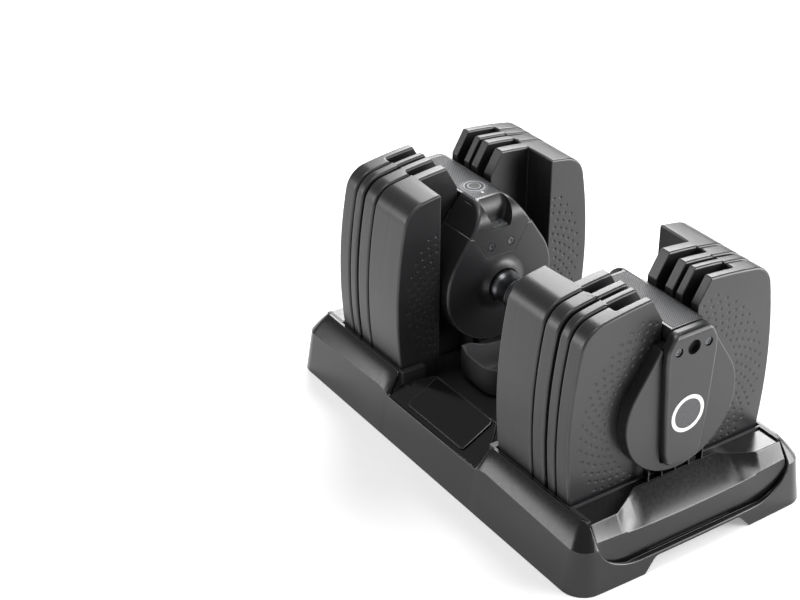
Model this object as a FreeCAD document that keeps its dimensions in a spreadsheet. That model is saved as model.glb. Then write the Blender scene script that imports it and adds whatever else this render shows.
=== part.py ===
import FreeCAD, Part
import math
import os
import Sketcher

# An adjustable dumbbell standing in its base. Millimetres, +Z up, +X along the handle towards the
# near end, origin under the middle of the base on the surface it stands on. The two ends are
# mirror images across X = 0, so each end piece is built once and mirrored.
#
# How it works: four weight plates a side stand in the base. The grip turns a drive tube that
# carries two selector discs a side. Each disc has a lip that covers part of a turn. When that part
# is at the bottom, it lies under the hook of a plate, and lifting the handle lifts the plate too.

doc = FreeCAD.newDocument("adjustable_dumbbell")

# ---------------------------------------------------------------- driving dimensions

DIMENSIONS = [
    ("base_half_length", 222.25, "half the base's length at the bottom"),
    ("base_half_width", 130.6, "half the base's width at the bottom"),
    ("base_corner", 22.3, "corner radius of the base seen from above"),
    ("base_wall", 3.0, "thickness of the outer wall"),
    ("skirt_gap", 0.6, "gap between the outer wall and the surface below"),
    ("wall_inset", 5.8, "how far the wall leans in up to the chamfer"),
    ("chamfer_low", 42.0, "height where the chamfer starts"),
    ("rim_height", 61.2, "height of the rim round the wells"),
    ("rim_inset", 20.7, "how far the rim's outer edge is inside the bottom edge"),
    ("rim_lip", 1.2, "width of the lip at the top of the chamfer"),
    ("foot_notch_half", 57.0, "half width of the notch under each end wall, at the bottom"),
    ("foot_notch_top_half", 47.0, "half width of that notch at its top"),
    ("foot_notch_height", 13.0, "height of that notch"),
    ("mouth_half", 104.0, "half width of the opening in each end wall"),
    ("mouth_floor_half", 70.0, "half width of the opening's flat lower edge"),
    ("mouth_floor", 17.0, "height of the opening's lower edge"),
    ("recess_half", 67.0, "half length of the recess in each long side"),
    ("recess_sill", 41.7, "height of the wall below the side recess"),
    ("panel_inner", 86.0, "distance of a side panel's upper edge from the middle"),
    ("panel_top", 62.5, "height of that upper edge"),
    ("panel_thick", 2.5, "thickness of a side panel"),
    ("panel_gap", 0.3, "gap round a side panel"),
    ("tray_half_length", 200.0, "half length of the tray"),
    ("tray_half_width", 108.4, "half width of the tray"),
    ("tray_low", 6.0, "height of the tray's lower edge"),
    ("tray_wall", 2.0, "wall thickness of the tray"),
    ("tray_floor", 33.0, "height of the floor between the ends"),
    ("tray_middle_half", 83.6, "half width of the floor between the ends"),
    ("well_floor", 26.0, "height of the floor that the plates stand on"),
    ("well_start", 73.5, "where the plate wells start"),
    ("well_end", 175.5, "where the plate wells end"),
    ("well_half_width", 106.4, "half width of the plate wells"),
    ("island_half", 60.5, "half width of the raised floor under an end cover"),
    ("island_end", 109.0, "where that raised floor ends"),
    ("foot_post_x", 150.0, "place of the foot posts along the base"),
    ("foot_post_y", 85.0, "place of the foot posts across the base"),
    ("foot_radius", 12.0, "radius of a rubber foot"),
    ("foot_post_radius", 9.0, "radius of a foot post"),
    ("foot_thick", 3.0, "thickness of a rubber foot"),
    ("ramp_start", 178.0, "inner end of an end ramp"),
    ("ramp_foot_x", 214.7, "outer end of the ramp's foot"),
    ("ramp_lip_x", 210.5, "place of the ramp's front edge"),
    ("ramp_lobe_lip_x", 209.9, "place of the front edge at the sides"),
    ("ramp_lip_z", 36.5, "height of the front edge in the middle"),
    ("ramp_lobe_lip_z", 42.0, "height of the front edge at the sides"),
    ("ramp_lobe_x", 203.5, "where the sides of the ramp reach their full height"),
    ("ramp_lobe_inner", 59.0, "distance of the ramp's raised sides from the middle"),
    ("ramp_scoop_x", 185.0, "upper end of the ramp's scoop"),
    ("ramp_scoop_z", 59.0, "height of the scoop's upper end"),
    ("ramp_half", 103.6, "half width of an end ramp"),
    ("ramp_low", 8.0, "height of the ramp's lower edge"),
    ("fin_pitch", 16.0, "distance between the guide fins on a ramp"),
    ("fin_thick", 1.2, "thickness of a guide fin"),
    ("fin_start", 179.0, "inner end of a guide fin"),
    ("fin_gap", 0.8, "gap between a guide fin and the outer cover"),
    ("ramp_wall", 3.0, "wall thickness of a ramp"),
    ("cradle_end", 67.0, "end of a cradle next to the end cover"),
    ("cradle_nose", 10.0, "other end of a cradle"),
    ("cradle_half", 45.5, "half width of a cradle"),
    ("cradle_corner", 20.0, "corner radius of a cradle's nose"),
    ("cradle_height", 65.0, "height of a cradle's rim"),
    ("cradle_wall", 3.0, "wall thickness of a cradle"),
    ("cradle_horn_half", 43.0, "half width of the raised wall at the cradle's end"),
    ("cradle_horn_height", 69.5, "height of that raised wall"),
    ("cradle_seat", 64.0, "radius of the curved seat in that wall"),
    ("cradle_screw_x", 40.0, "place of a cradle's screws along the base"),
    ("cradle_screw_y", 20.0, "place of a cradle's screws across the base"),
    ("ear_x", 130.0, "place of the ears that join wall and tray, along the base"),
    ("ear_y", 116.0, "place of their screws across the base"),
    ("ear_half", 6.0, "half length of an ear"),
    ("ear_low", 16.0, "height of the tray's ears"),
    ("ear_thick", 4.0, "thickness of the tray's ears"),
    ("ear_margin", 1.0, "width of an ear outside its screw's head"),
    ("ear_boss", 12.0, "height of the wall's bosses above the ears"),
    ("post_x", 100.0, "place of a release post and its lock plunger"),
    ("post_radius", 4.0, "radius of a release post"),
    ("post_top", 59.7, "height of a release post"),
    ("post_foot_radius", 7.0, "radius of a release post's foot"),
    ("post_foot_thick", 2.0, "thickness of that foot"),
    ("axis_height", 124.1, "height of the handle's axis"),
    ("plate_1_inner", 74.9, "inner face of plate 1's lobes"),
    ("plate_1_outer", 123.3, "outer face of plate 1"),
    ("plate_1_web", 110.5, "inner face of plate 1 between the lobes"),
    ("plate_1_back", 122.0, "outer face of plate 1 between the lobes"),
    ("plate_2_inner", 123.9, "inner face of plate 2's lobes"),
    ("plate_2_outer", 142.5, "outer face of plate 2"),
    ("plate_2_web", 132.5, "inner face of plate 2 between the lobes"),
    ("plate_2_back", 142.0, "outer face of plate 2 between the lobes"),
    ("plate_3_inner", 143.1, "inner face of plate 3's lobes"),
    ("plate_3_outer", 154.7, "outer face of plate 3"),
    ("plate_3_web", 146.0, "inner face of plate 3 between the lobes"),
    ("plate_3_back", 153.5, "outer face of plate 3 between the lobes"),
    ("plate_4_inner", 155.3, "inner face of plate 4's lobes"),
    ("plate_4_outer", 173.4, "outer face of plate 4"),
    ("plate_4_web", 164.5, "inner face of plate 4 between the lobes"),
    ("disc_a_start", 125.8, "inner face of the selector disc between plates 1 and 2"),
    ("disc_b_start", 157.5, "inner face of the selector disc between plates 3 and 4"),
    ("hub_reach", 3.1, "how far a selector's hub stands out of its disc"),
    ("plate_half_foot", 99.5, "half width of a plate at its foot"),
    ("plate_half_shoulder", 98.3, "half width where a plate's side meets its top"),
    ("plate_shoulder", 222.9, "height where a plate's side meets its top"),
    ("plate_bow", 455.0, "radius of a plate's bowed sides and top"),
    ("plate_corner", 25.0, "radius of a plate's top corners"),
    ("plate_foot_corner", 6.0, "radius of a plate's lower corners"),
    ("slot_half", 19.1, "half width of the slot in a plate"),
    ("slot_flare_z", 210.2, "height where the slot starts to flare"),
    ("slot_mouth_half", 31.9, "half width of the slot at the top"),
    ("slot_mouth_z", 232.4, "height of the slot's top corners"),
    ("pocket_half", 62.4, "half width of the pocket between the plates' lobes"),
    ("plate_skin", 2.0, "moulded skin over the steel"),
    ("steel_gap", 0.1, "gap between the steel and its skin"),
    ("hook_half", 6.0, "half width of a plate's hook"),
    ("hook_high", 44.0, "distance of a hook's top below the axis"),
    ("hook_low", 50.0, "distance of a hook's underside below the axis"),
    ("hook_reach", 3.4, "how far a hook stands out of its plate"),
    ("web_radius", 57.0, "radius of a selector disc"),
    ("web_thick", 3.0, "thickness of a selector disc"),
    ("lip_inner", 51.5, "inner radius of a selector lip"),
    ("lip_reach", 3.4, "how far a lip stands out of its disc"),
    ("selector_hub", 17.0, "radius of a selector disc's hub"),
    ("shaft_radius", 7.95, "radius of the fixed shaft"),
    ("shaft_half", 181.5, "half length of the fixed shaft"),
    ("tube_bore", 8.0, "bore radius of the drive tube"),
    ("tube_radius", 12.0, "outer radius of the drive tube"),
    ("tube_half", 166.0, "half length of the drive tube"),
    ("nut_flat", 12.0, "half the distance across a shaft nut's flats"),
    ("nut_thick", 6.0, "thickness of a shaft nut"),
    ("nut_gap", 0.3, "gap between the drive tube's end and its nut"),
    ("bush_bore", 12.05, "bore radius of a bushing"),
    ("bush_radius", 15.0, "outer radius of a bushing"),
    ("bush_length", 6.0, "length of a bushing"),
    ("bush_boss", 19.0, "radius of the boss that holds a bushing"),
    ("grip_half", 37.8, "half length of the grip sleeve"),
    ("grip_radius", 16.4, "radius of the grip sleeve"),
    ("collar_end", 66.1, "outer end of a grip collar"),
    ("collar_flare", 16.6, "radius of a collar's two flares"),
    ("collar_neck", 13.0, "radius of a collar's neck"),
    ("collar_neck_x", 52.0, "place of a collar's neck"),
    ("collar_bead_x", 61.0, "where a collar's outer flare starts"),
    ("collar_bead_arc", 13.05, "radius of the hollow between neck and outer flare"),
    ("collar_cuff_x", 41.0, "where a collar's inner flare ends"),
    ("collar_cuff_arc", 18.6, "radius of the hollow between neck and inner flare"),
    ("cover_face", 66.4, "front face of the inner cover"),
    ("cover_back", 107.5, "back of the inner cover"),
    ("cover_radius", 60.0, "radius of the covers' round part"),
    ("cover_wall", 2.5, "wall thickness of the covers"),
    ("flank_half", 50.0, "half width where a cover's flank starts"),
    ("flank_low", 156.7, "height where a cover's flank starts"),
    ("neck_half", 28.4, "half width where a cover's flank ends"),
    ("neck_height", 190.0, "height where a cover's flank ends"),
    ("crown_half", 21.7, "half width of the inner cover's crown"),
    ("crown_low", 200.0, "height of the crown's widest part"),
    ("crown_top_half", 16.5, "half width of the crown's top"),
    ("bridge_top", 205.2, "height of the bridge's top"),
    ("roll_start", 183.0, "height where the cover's face starts to roll back"),
    ("bridge_start", 92.7, "inner end of the bridge"),
    ("roll_radius", 22.5, "radius of the rolled crown"),
    ("notch_half", 10.5, "half width of the notch in the crown, at its floor"),
    ("notch_top_half", 14.9, "half width of that notch at the top"),
    ("ceiling", 179.2, "height of the ceiling inside the inner cover"),
    ("ceiling_half", 32.3, "half width of that ceiling"),
    ("seam_top_half", 31.4, "half width of the crown's seam at its top"),
    ("seam_low_half", 16.0, "half width of the crown's seam at its foot"),
    ("seam_low", 153.8, "height of the seam's foot"),
    ("notch_floor", 181.7, "floor of that notch"),
    ("notch_back", 79.5, "back wall of that notch"),
    ("window_half", 8.4, "half width of the number window"),
    ("window_thick", 1.5, "thickness of the number window"),
    ("window_gap", 0.2, "gap between the window and the notch's back wall"),
    ("window_rebate", 1.0, "width of the ledge that the window lies on"),
    ("drum_radius", 54.0, "radius of a number drum"),
    ("drum_start", 70.5, "front of a number drum"),
    ("drum_end", 84.5, "back of a number drum"),
    ("drum_wall", 2.5, "wall thickness of a number drum"),
    ("drum_hub_reach", 5.0, "how far its hub stands out of its back, each way"),
    ("back_plate_end", 110.0, "outer face of the back plate"),
    ("bridge_half", 17.3, "half width of the bridge"),
    ("bridge_low", 192.0, "height of the bridge's underside"),
    ("beam_gap", 1.0, "gap between the back plate and the bridge's underside"),
    ("bridge_seat", 200.2, "height of the seat in the crown"),
    ("bridge_end", 182.2, "outer end of the bridge"),
    ("label_half", 14.6, "half width of the label"),
    ("label_end", 181.0, "outer end of the label"),
    ("label_thick", 0.8, "thickness of the label"),
    ("disc_back", 173.8, "back of the outer cover"),
    ("disc_face", 186.0, "front face of the outer cover"),
    ("disc_radius", 59.6, "radius of the outer cover"),
    ("shaft_boss", 13.0, "radius of the boss that holds the shaft"),
    ("bar_back", 183.2, "back of the end bar"),
    ("bar_face", 192.7, "front face of the end bar"),
    ("bar_top", 204.0, "height of the end bar's top"),
    ("bar_top_half", 19.0, "half width of its top"),
    ("bar_wide_z", 178.0, "height where the bar is widest"),
    ("bar_wide_half", 27.0, "half width where the bar is widest"),
    ("bar_waist_z", 190.0, "height where the bar starts to round over"),
    ("bar_waist_half", 26.5, "half width of the bar there"),
    ("bar_shoulder", 18.0, "radius of the bar's round shoulders"),
    ("bar_side_half", 20.5, "half width of the bar just above its foot"),
    ("bar_side_z", 80.0, "height of that place"),
    ("bar_foot_half", 16.5, "half width of the bar's foot"),
    ("bar_foot_z", 75.4, "height of the foot's corners"),
    ("bar_foot_low", 72.5, "lowest point of the bar"),
    ("bar_foot_radius", 51.6, "radius of the foot's lower edge"),
    ("bar_foot_corner", 5.0, "radius of the foot's corners"),
    ("bar_screw_y", 16.0, "distance of the bar's screws from the middle"),
    ("bar_screw_z", 187.5, "height of the bar's screws"),
    ("bar_hole", 6.75, "radius of the round hole in the bar"),
    ("bar_hole_depth", 5.0, "depth of that hole"),
    ("badge_z", 123.4, "height of the badge"),
    ("badge_outer", 17.7, "outer radius of the badge ring"),
    ("badge_inner", 14.1, "inner radius of the badge ring"),
    ("badge_sunk", 0.6, "depth of the badge's seat"),
    ("badge_thick", 0.8, "thickness of the badge"),
    ("badge_gap", 0.1, "clearance round the badge's ring and centre"),
    ("cover_screw_y", 11.0, "distance of the cover's screws from the middle"),
    ("cover_screw_z", 164.5, "height of the cover's screws"),
    ("cover_screw_end", 75.4, "where the cover's screws end"),
    ("screw_wall_half", 19.0, "half width of the wall behind the cover's screws"),
    ("screw_wall_low", 147.8, "lower edge of that wall"),
    ("screw_wall_high", 168.5, "upper edge of that wall"),
    ("boss_wall", 1.5, "wall thickness of a screw boss"),
    ("head_gap", 0.4, "clearance round the head of a bar screw"),
    ("head_sunk", 1.0, "how far the bar's screws are sunk"),
    ("bar_screw_start", 175.8, "where the bar's screws end inside the cover"),
    ("head_radius", 3.6, "radius of a screw head"),
    ("head_thick", 1.6, "thickness of a screw head"),
    ("shank_radius", 1.5, "radius of a screw's shank"),
    ("screw_gap", 0.15, "clearance round a screw"),
    ("plunger_radius", 3.5, "radius of a lock plunger"),
    ("plunger_low", 60.0, "height of a lock plunger's foot"),
    ("plunger_flange", 5.5, "radius of its flange"),
    ("plunger_gap", 0.3, "clearance round its foot"),
    ("stem_gap", 0.2, "clearance round its stem"),
    ("flange_low", 67.3, "height of its flange"),
    ("flange_thick", 2.0, "thickness of its flange"),
    ("flange_travel", 3.0, "room for its flange in the cover's hole"),
    ("stem_radius", 2.0, "radius of its stem"),
    ("stem_top", 80.0, "height of its stem"),
    ("guide_low", 77.8, "height of the bracket that guides the stem"),
    ("guide_thick", 2.5, "thickness of that bracket"),
    ("spring_wire", 0.5, "radius of the lock spring's wire"),
    ("spring_coil", 3.4, "radius of the lock spring's coil"),
    ("spring_gap", 0.1, "gap between the lock spring and what it presses on"),
    ("board_start", 91.5, "front of the sensor board"),
    ("board_thick", 1.5, "thickness of the sensor board"),
    ("board_half", 16.0, "half width of the sensor board"),
    ("board_low", 146.1, "height of its lower edge"),
    ("board_high", 176.0, "height of its upper edge"),
    ("button_x", 110.6, "place of the mode button"),
    ("button_radius", 8.7, "radius of the mode button"),
    ("button_gap", 0.3, "clearance round the mode button"),
    ("button_top", 206.0, "height of the mode button"),
    ("button_low", 201.2, "height of the button's underside"),
    ("channel_start", 122.6, "where the hollow under the bridge starts"),
    ("channel_wall", 3.0, "thickness of the bridge over and beyond that hollow"),
]

sheet = doc.addObject("Spreadsheet::Sheet", "Dimensions")
for row, (alias, number, meaning) in enumerate(DIMENSIONS, start=1):
    sheet.set(f"A{row}", meaning)
    sheet.set(f"B{row}", str(number))
    sheet.setAlias(f"B{row}", alias)
doc.recompute()


class Size:
    """A length that knows both its value and the sheet expression that gives it."""

    def __init__(self, value, text):
        self.value = value
        self.text = text

    def __add__(self, other):
        other = size(other)
        return Size(self.value + other.value, f"({self.text} + {other.text})")

    def __sub__(self, other):
        other = size(other)
        return Size(self.value - other.value, f"({self.text} - {other.text})")

    def __mul__(self, number):
        return Size(self.value * number, f"({self.text} * {number})")

    def __neg__(self):
        return Size(-self.value, f"(0 - {self.text})")


def size(number):
    """Turns a plain number into a Size."""
    return number if isinstance(number, Size) else Size(float(number), f"({number})")


class Sheet:
    """Every driving dimension by name."""


D = Sheet()
for alias, number, meaning in DIMENSIONS:
    setattr(D, alias, Size(number, f"Dimensions.{alias}"))

# ---------------------------------------------------------------- modelling helpers

ALONG_X = FreeCAD.Rotation(FreeCAD.Vector(0, 1, 0), 90)
UPRIGHT = FreeCAD.Rotation()
LEFT, RIGHT = 1, -1  # the way an arc turns as the outline is followed
BEYOND = 400  # further than any edge of the object
OVER = 1  # how far a tool reaches past what it cuts, or a piece into what it joins
SPRING_TURNS = 5
parts = []


def bind(thing, **sizes):
    """Sets properties of a feature, each tied to the sheet."""
    for name, length in sizes.items():
        length = size(length)
        setattr(thing, name, length.value)
        thing.setExpression(name, length.text)
    return thing


def put(thing, x=0, y=0, z=0, turn=UPRIGHT):
    """Places a feature, with its position tied to the sheet."""
    x, y, z = size(x), size(y), size(z)
    thing.Placement = FreeCAD.Placement(FreeCAD.Vector(x.value, y.value, z.value), turn)
    for letter, length in zip("xyz", (x, y, z)):
        thing.setExpression(f"Placement.Base.{letter}", length.text)
    return thing


def part(thing, label):
    """Marks a feature as one finished sub-part."""
    thing.Label = label
    parts.append(thing)
    return thing


def block(name, x, y, z):
    """A box between two limits along each axis."""
    made = doc.addObject("Part::Box", name)
    lows = [size(pair[0]) for pair in (x, y, z)]
    highs = [size(pair[1]) for pair in (x, y, z)]
    spans = [high - low for high, low in zip(highs, lows)]
    bind(made, Length=spans[0], Width=spans[1], Height=spans[2])
    return put(made, *lows)


def rod(name, radius, x, y=0, z=0):
    """A cylinder along X between two limits."""
    made = doc.addObject("Part::Cylinder", name)
    bind(made, Radius=radius, Height=size(x[1]) - x[0])
    return put(made, x[0], y, z, ALONG_X)


def post(name, radius, z, x=0, y=0):
    """A cylinder along Z between two limits."""
    made = doc.addObject("Part::Cylinder", name)
    bind(made, Radius=radius, Height=size(z[1]) - z[0])
    return put(made, x, y, z[0])


def fuse(name, *pieces):
    made = doc.addObject("Part::MultiFuse", name)
    made.Shapes = list(pieces)
    made.Refine = True
    return made


def cut(name, base, *tools):
    made = doc.addObject("Part::Cut", name)
    made.Base = base
    made.Tool = tools[0] if len(tools) == 1 else fuse(f"{name}_tools", *tools)
    made.Refine = True
    return made


def group(name, *pieces):
    """Separate solids kept together in one node."""
    made = doc.addObject("Part::Compound", name)
    made.Links = list(pieces)
    return made


def mirror(source, name, across="x"):
    """A mirror image: of a near end piece at the far end, or of a right-hand piece on the left."""
    made = doc.addObject("Part::Mirroring", name)
    made.Source = source
    made.Normal = FreeCAD.Vector(1, 0, 0) if across == "x" else FreeCAD.Vector(0, 1, 0)
    return made


def both_ends(piece, label):
    """Keeps the near piece and its mirror image as two sub-parts."""
    part(piece, f"{label}_near")
    part(mirror(piece, f"{label}_far_copy"), f"{label}_far")


def pair_of(piece, label):
    """Keeps a small near piece and its mirror image together as one sub-part."""
    part(group(f"{label}_pair", piece, mirror(piece, f"{label}_copy")), label)


def body(name):
    return doc.addObject("PartDesign::Body", name)


def to(across, up, radius=None, turn=LEFT):
    """One corner of an outline, reached along a line or, given a radius, along an arc."""
    return size(across), size(up), None if radius is None else (size(radius), turn)


def both_sides(half):
    """Adds a right-hand outline's mirror image. An end on the middle line is shared."""
    mirrored = [(-half[-1][0], half[-1][1], None)]
    for corner, later in zip(reversed(half[:-1]), reversed(half[1:])):
        mirrored.append((-corner[0], corner[1], later[2]))
    if half[-1][0].value == 0:
        mirrored.pop(0)
    whole = half + mirrored
    if half[0][0].value == 0:
        shared = whole.pop()
        whole[0] = (whole[0][0], whole[0][1], shared[2])
    return whole


def circle_foot(radius, across):
    """The height of the lower side of a circle about the handle's axis."""
    drop = math.sqrt(radius.value**2 - across.value**2)
    sum_text = f"({D.axis_height.text} - sqrt({radius.text} ^ 2 - {across.text} ^ 2))"
    return Size(D.axis_height.value - drop, sum_text)


def arc_between(start, end, radius, turn):
    """The shorter arc of that radius from one point to another."""
    chord = end - start
    reach = math.sqrt(max(radius**2 - chord.Length**2 / 4, 0))
    side = FreeCAD.Vector(-chord.y, chord.x, 0).normalize() * turn
    centre = (start + end) * 0.5 + side * reach
    first, last = (start, end) if turn == LEFT else (end, start)
    angles = [math.atan2(p.y - centre.y, p.x - centre.x) for p in (first, last)]
    circle = Part.Circle(centre, FreeCAD.Vector(0, 0, 1), radius)
    return Part.ArcOfCircle(circle, angles[0], angles[1])


def sketch(owner, name, plane, outline, offset=0):
    """A closed outline on one of a body's own planes, with every corner tied to the sheet."""
    drawn = owner.newObject("Sketcher::SketchObject", name)
    support = [f for f in owner.Origin.OriginFeatures if f.Role == plane][0]
    drawn.AttachmentSupport = [(support, "")]
    drawn.MapMode = "FlatFace"
    offset = size(offset)
    drawn.AttachmentOffset = FreeCAD.Placement(FreeCAD.Vector(0, 0, offset.value), UPRIGHT)
    drawn.setExpression("AttachmentOffset.Base.z", offset.text)
    points = [FreeCAD.Vector(u.value, v.value, 0) for u, v, _ in outline]
    starts, ends = [], []
    for i, point in enumerate(points):
        following = (i + 1) % len(points)
        arc = outline[following][2]
        if arc is None:
            drawn.addGeometry(Part.LineSegment(point, points[following]))
        else:
            drawn.addGeometry(arc_between(point, points[following], arc[0].value, arc[1]))
        clockwise = arc is not None and arc[1] == RIGHT
        starts.append(2 if clockwise else 1)
        ends.append(1 if clockwise else 2)
    for i in range(len(points)):
        following = (i + 1) % len(points)
        joint = Sketcher.Constraint("Coincident", i, ends[i], following, starts[following])
        drawn.addConstraint(joint)
        for kind, length in zip(("DistanceX", "DistanceY"), outline[i][:2]):
            tied(drawn, Sketcher.Constraint(kind, i, starts[i], length.value), length)
        arc = outline[following][2]
        if arc is not None:
            tied(drawn, Sketcher.Constraint("Radius", i, arc[0].value), arc[0])
    return drawn


def tied(drawn, constraint, length):
    """Adds a constraint whose value follows the sheet."""
    number = drawn.addConstraint(constraint)
    drawn.setExpression(f"Constraints[{number}]", length.text)


def pad(owner, name, drawn, length, centred=False):
    made = owner.newObject("PartDesign::Pad", name)
    made.Profile = drawn
    made.SideType = "Symmetric" if centred else "One side"
    return bind(made, Length=length)


def pocket(owner, name, drawn, length, centred=False, forward=True):
    """Cuts an outline away: along its plane's normal, against it, or to both sides."""
    made = owner.newObject("PartDesign::Pocket", name)
    made.Profile = drawn
    made.SideType = "Symmetric" if centred else "One side"
    made.Reversed = forward
    return bind(made, Length=length)


def revolve(owner, name, drawn, axis_role="X_Axis"):
    made = owner.newObject("PartDesign::Revolution", name)
    made.Profile = drawn
    axis = [f for f in owner.Origin.OriginFeatures if f.Role == axis_role][0]
    made.ReferenceAxis = (axis, [""])
    made.Angle = 360
    return made


def loft(owner, name, sketches, subtract=False):
    kind = "PartDesign::SubtractiveLoft" if subtract else "PartDesign::AdditiveLoft"
    made = owner.newObject(kind, name)
    made.Profile = sketches[0]
    made.Sections = sketches[1:]
    made.Ruled = True
    return made


def round_edges(owner, name, radius, wanted):
    """Fillets the edges of the body's last feature that the test picks."""
    doc.recompute()
    base = owner.Tip
    edges = [f"Edge{i}" for i, e in enumerate(base.Shape.Edges, start=1) if wanted(e)]
    made = owner.newObject("PartDesign::Fillet", name)
    made.Base = (base, edges)
    return bind(made, Radius=radius)


def runs_along_x(edge):
    start, end = edge.firstVertex().Point, edge.lastVertex().Point
    return abs(end.y - start.y) < 0.01 and abs(end.z - start.z) < 0.01 and abs(end.x - start.x) > 0.01


def rectangle(u, v):
    """A rectangle's outline between two limits each way."""
    return [to(u[0], v[0]), to(u[1], v[0]), to(u[1], v[1]), to(u[0], v[1])]


def rounded_rectangle(half_u, half_v, radius):
    """A rectangle with round corners, centred on the origin."""
    straight_u, straight_v = half_u - radius, half_v - radius
    half = [
        to(straight_u, -half_v),
        to(half_u, -straight_v, radius),
        to(half_u, straight_v),
        to(straight_u, half_v, radius),
    ]
    return both_sides(half)


# ---------------------------------------------------------------- the base


def build_skirt():
    """The outer wall: leaning sides, a wide chamfer, and a lip round the wells."""
    skirt = body("skirt")
    levels = [
        (D.skirt_gap, size(0), D.base_wall),
        (D.chamfer_low, D.wall_inset, D.base_wall),
        (D.rim_height, D.rim_inset, D.rim_lip),
    ]
    for subtract in (False, True):
        rings = []
        for number, (height, inset, wall) in enumerate(levels):
            step = inset + wall if subtract else inset
            outline = rounded_rectangle(
                D.base_half_length - step, D.base_half_width - step, D.base_corner - step
            )
            name = f"skirt_{'inside' if subtract else 'outside'}_{number}"
            rings.append(sketch(skirt, name, "XY_Plane", outline, height))
        loft(skirt, "skirt_hollow" if subtract else "skirt_solid", rings, subtract)
    notch = both_sides(
        [to(D.foot_notch_half, 0), to(D.foot_notch_top_half, D.foot_notch_height)]
    )
    pocket(skirt, "foot_notch", sketch(skirt, "notch_line", "YZ_Plane", notch), 2 * BEYOND, True)
    corner = D.mouth_half - D.mouth_floor_half
    mouth = both_sides(
        [
            to(D.mouth_floor_half, D.mouth_floor),
            to(D.mouth_half, D.mouth_floor + corner, corner),
            to(D.mouth_half, D.rim_height + D.base_wall),
        ]
    )
    pocket(skirt, "mouth", sketch(skirt, "mouth_line", "YZ_Plane", mouth), 2 * BEYOND, True)
    sides = rectangle((-D.recess_half, D.recess_half), (D.recess_sill, D.rim_height + D.base_wall))
    pocket(skirt, "recess", sketch(skirt, "recess_line", "XZ_Plane", sides), 2 * BEYOND, True)
    bosses, holes = [], []
    low = D.ear_low + D.ear_thick
    top = low + D.ear_boss
    for number, (x, y) in enumerate(four_of(D.ear_x, D.ear_y)):
        outer = D.base_half_width - D.base_wall * 2
        across = (y - D.head_radius, outer) if y.value > 0 else (-outer, y + D.head_radius)
        along = (x - D.ear_half, x + D.ear_half)
        bosses.append(block(f"wall_boss_{number}", along, across, (low, top)))
        radius = D.shank_radius + D.screw_gap
        holes.append(post(f"wall_hole_{number}", radius, (low - OVER, top - OVER), x, y))
    part(cut("skirt_with_bosses", fuse("skirt_solids", skirt, *bosses), *holes), "base_skirt")


def build_side_panels():
    """The sloping panel in each long side's recess, with a leg down to the tray's floor."""
    panel = body("side_panel")
    gap = D.panel_gap
    outer = D.base_half_width - D.wall_inset - gap
    inside_wall = outer - D.base_wall - gap
    sill = D.recess_sill + gap
    leg = D.panel_inner - D.panel_thick
    outline = [
        to(outer, sill),
        to(D.panel_inner, D.panel_top),
        to(leg, D.panel_top),
        to(leg, D.tray_floor),
        to(D.panel_inner, D.tray_floor),
        to(D.panel_inner, D.panel_top - D.panel_thick - gap),
        to(inside_wall, sill - D.panel_thick * 0.5),
        to(inside_wall, sill),
    ]
    drawn = sketch(panel, "panel_line", "YZ_Plane", outline)
    pad(panel, "panel_pad", drawn, (D.recess_half - gap) * 2, centred=True)
    part(group("side_panel_pair", panel, mirror(panel, "side_panel_left", "y")), "side_panels")


def tray_openings(margin, label):
    """What is open above the tray's floors, grown by a margin on every side."""
    grow = size(margin)
    top = size(BEYOND)
    well = (D.well_start - grow, D.well_end + grow)
    low, floor = D.well_floor - grow, D.tray_floor - grow
    island, side = D.island_half + grow, D.well_half_width + grow
    beside = (D.island_half - grow, side)
    near = [
        block(f"{label}_well_right", well, beside, (low, top)),
        block(f"{label}_well_left", well, (-beside[1], -beside[0]), (low, top)),
        block(f"{label}_well_middle", (D.island_end - grow, well[1]), (-island, island), (low, top)),
        block(
            f"{label}_ramp_space",
            (D.ramp_start - grow, BEYOND),
            (-D.mouth_half - grow, D.mouth_half + grow),
            (0, top),
        ),
    ]
    near = fuse(f"{label}_near", *near)
    island_x, middle_x = D.island_end + grow, D.well_start + grow
    recess_x, middle_y = D.recess_half + grow, D.tray_middle_half + grow
    return [
        near,
        mirror(near, f"{label}_far"),
        block(f"{label}_islands", (-island_x, island_x), (-island, island), (floor, top)),
        block(f"{label}_middle", (-middle_x, middle_x), (-middle_y, middle_y), (floor, top)),
        block(f"{label}_recess", (-recess_x, recess_x), (-BEYOND, BEYOND), (floor, top)),
    ]


def four_of(x, y):
    """The four places that lie the same way from the middle of the base."""
    return [(x * along, y * across) for along in (1, -1) for across in (1, -1)]


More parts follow.
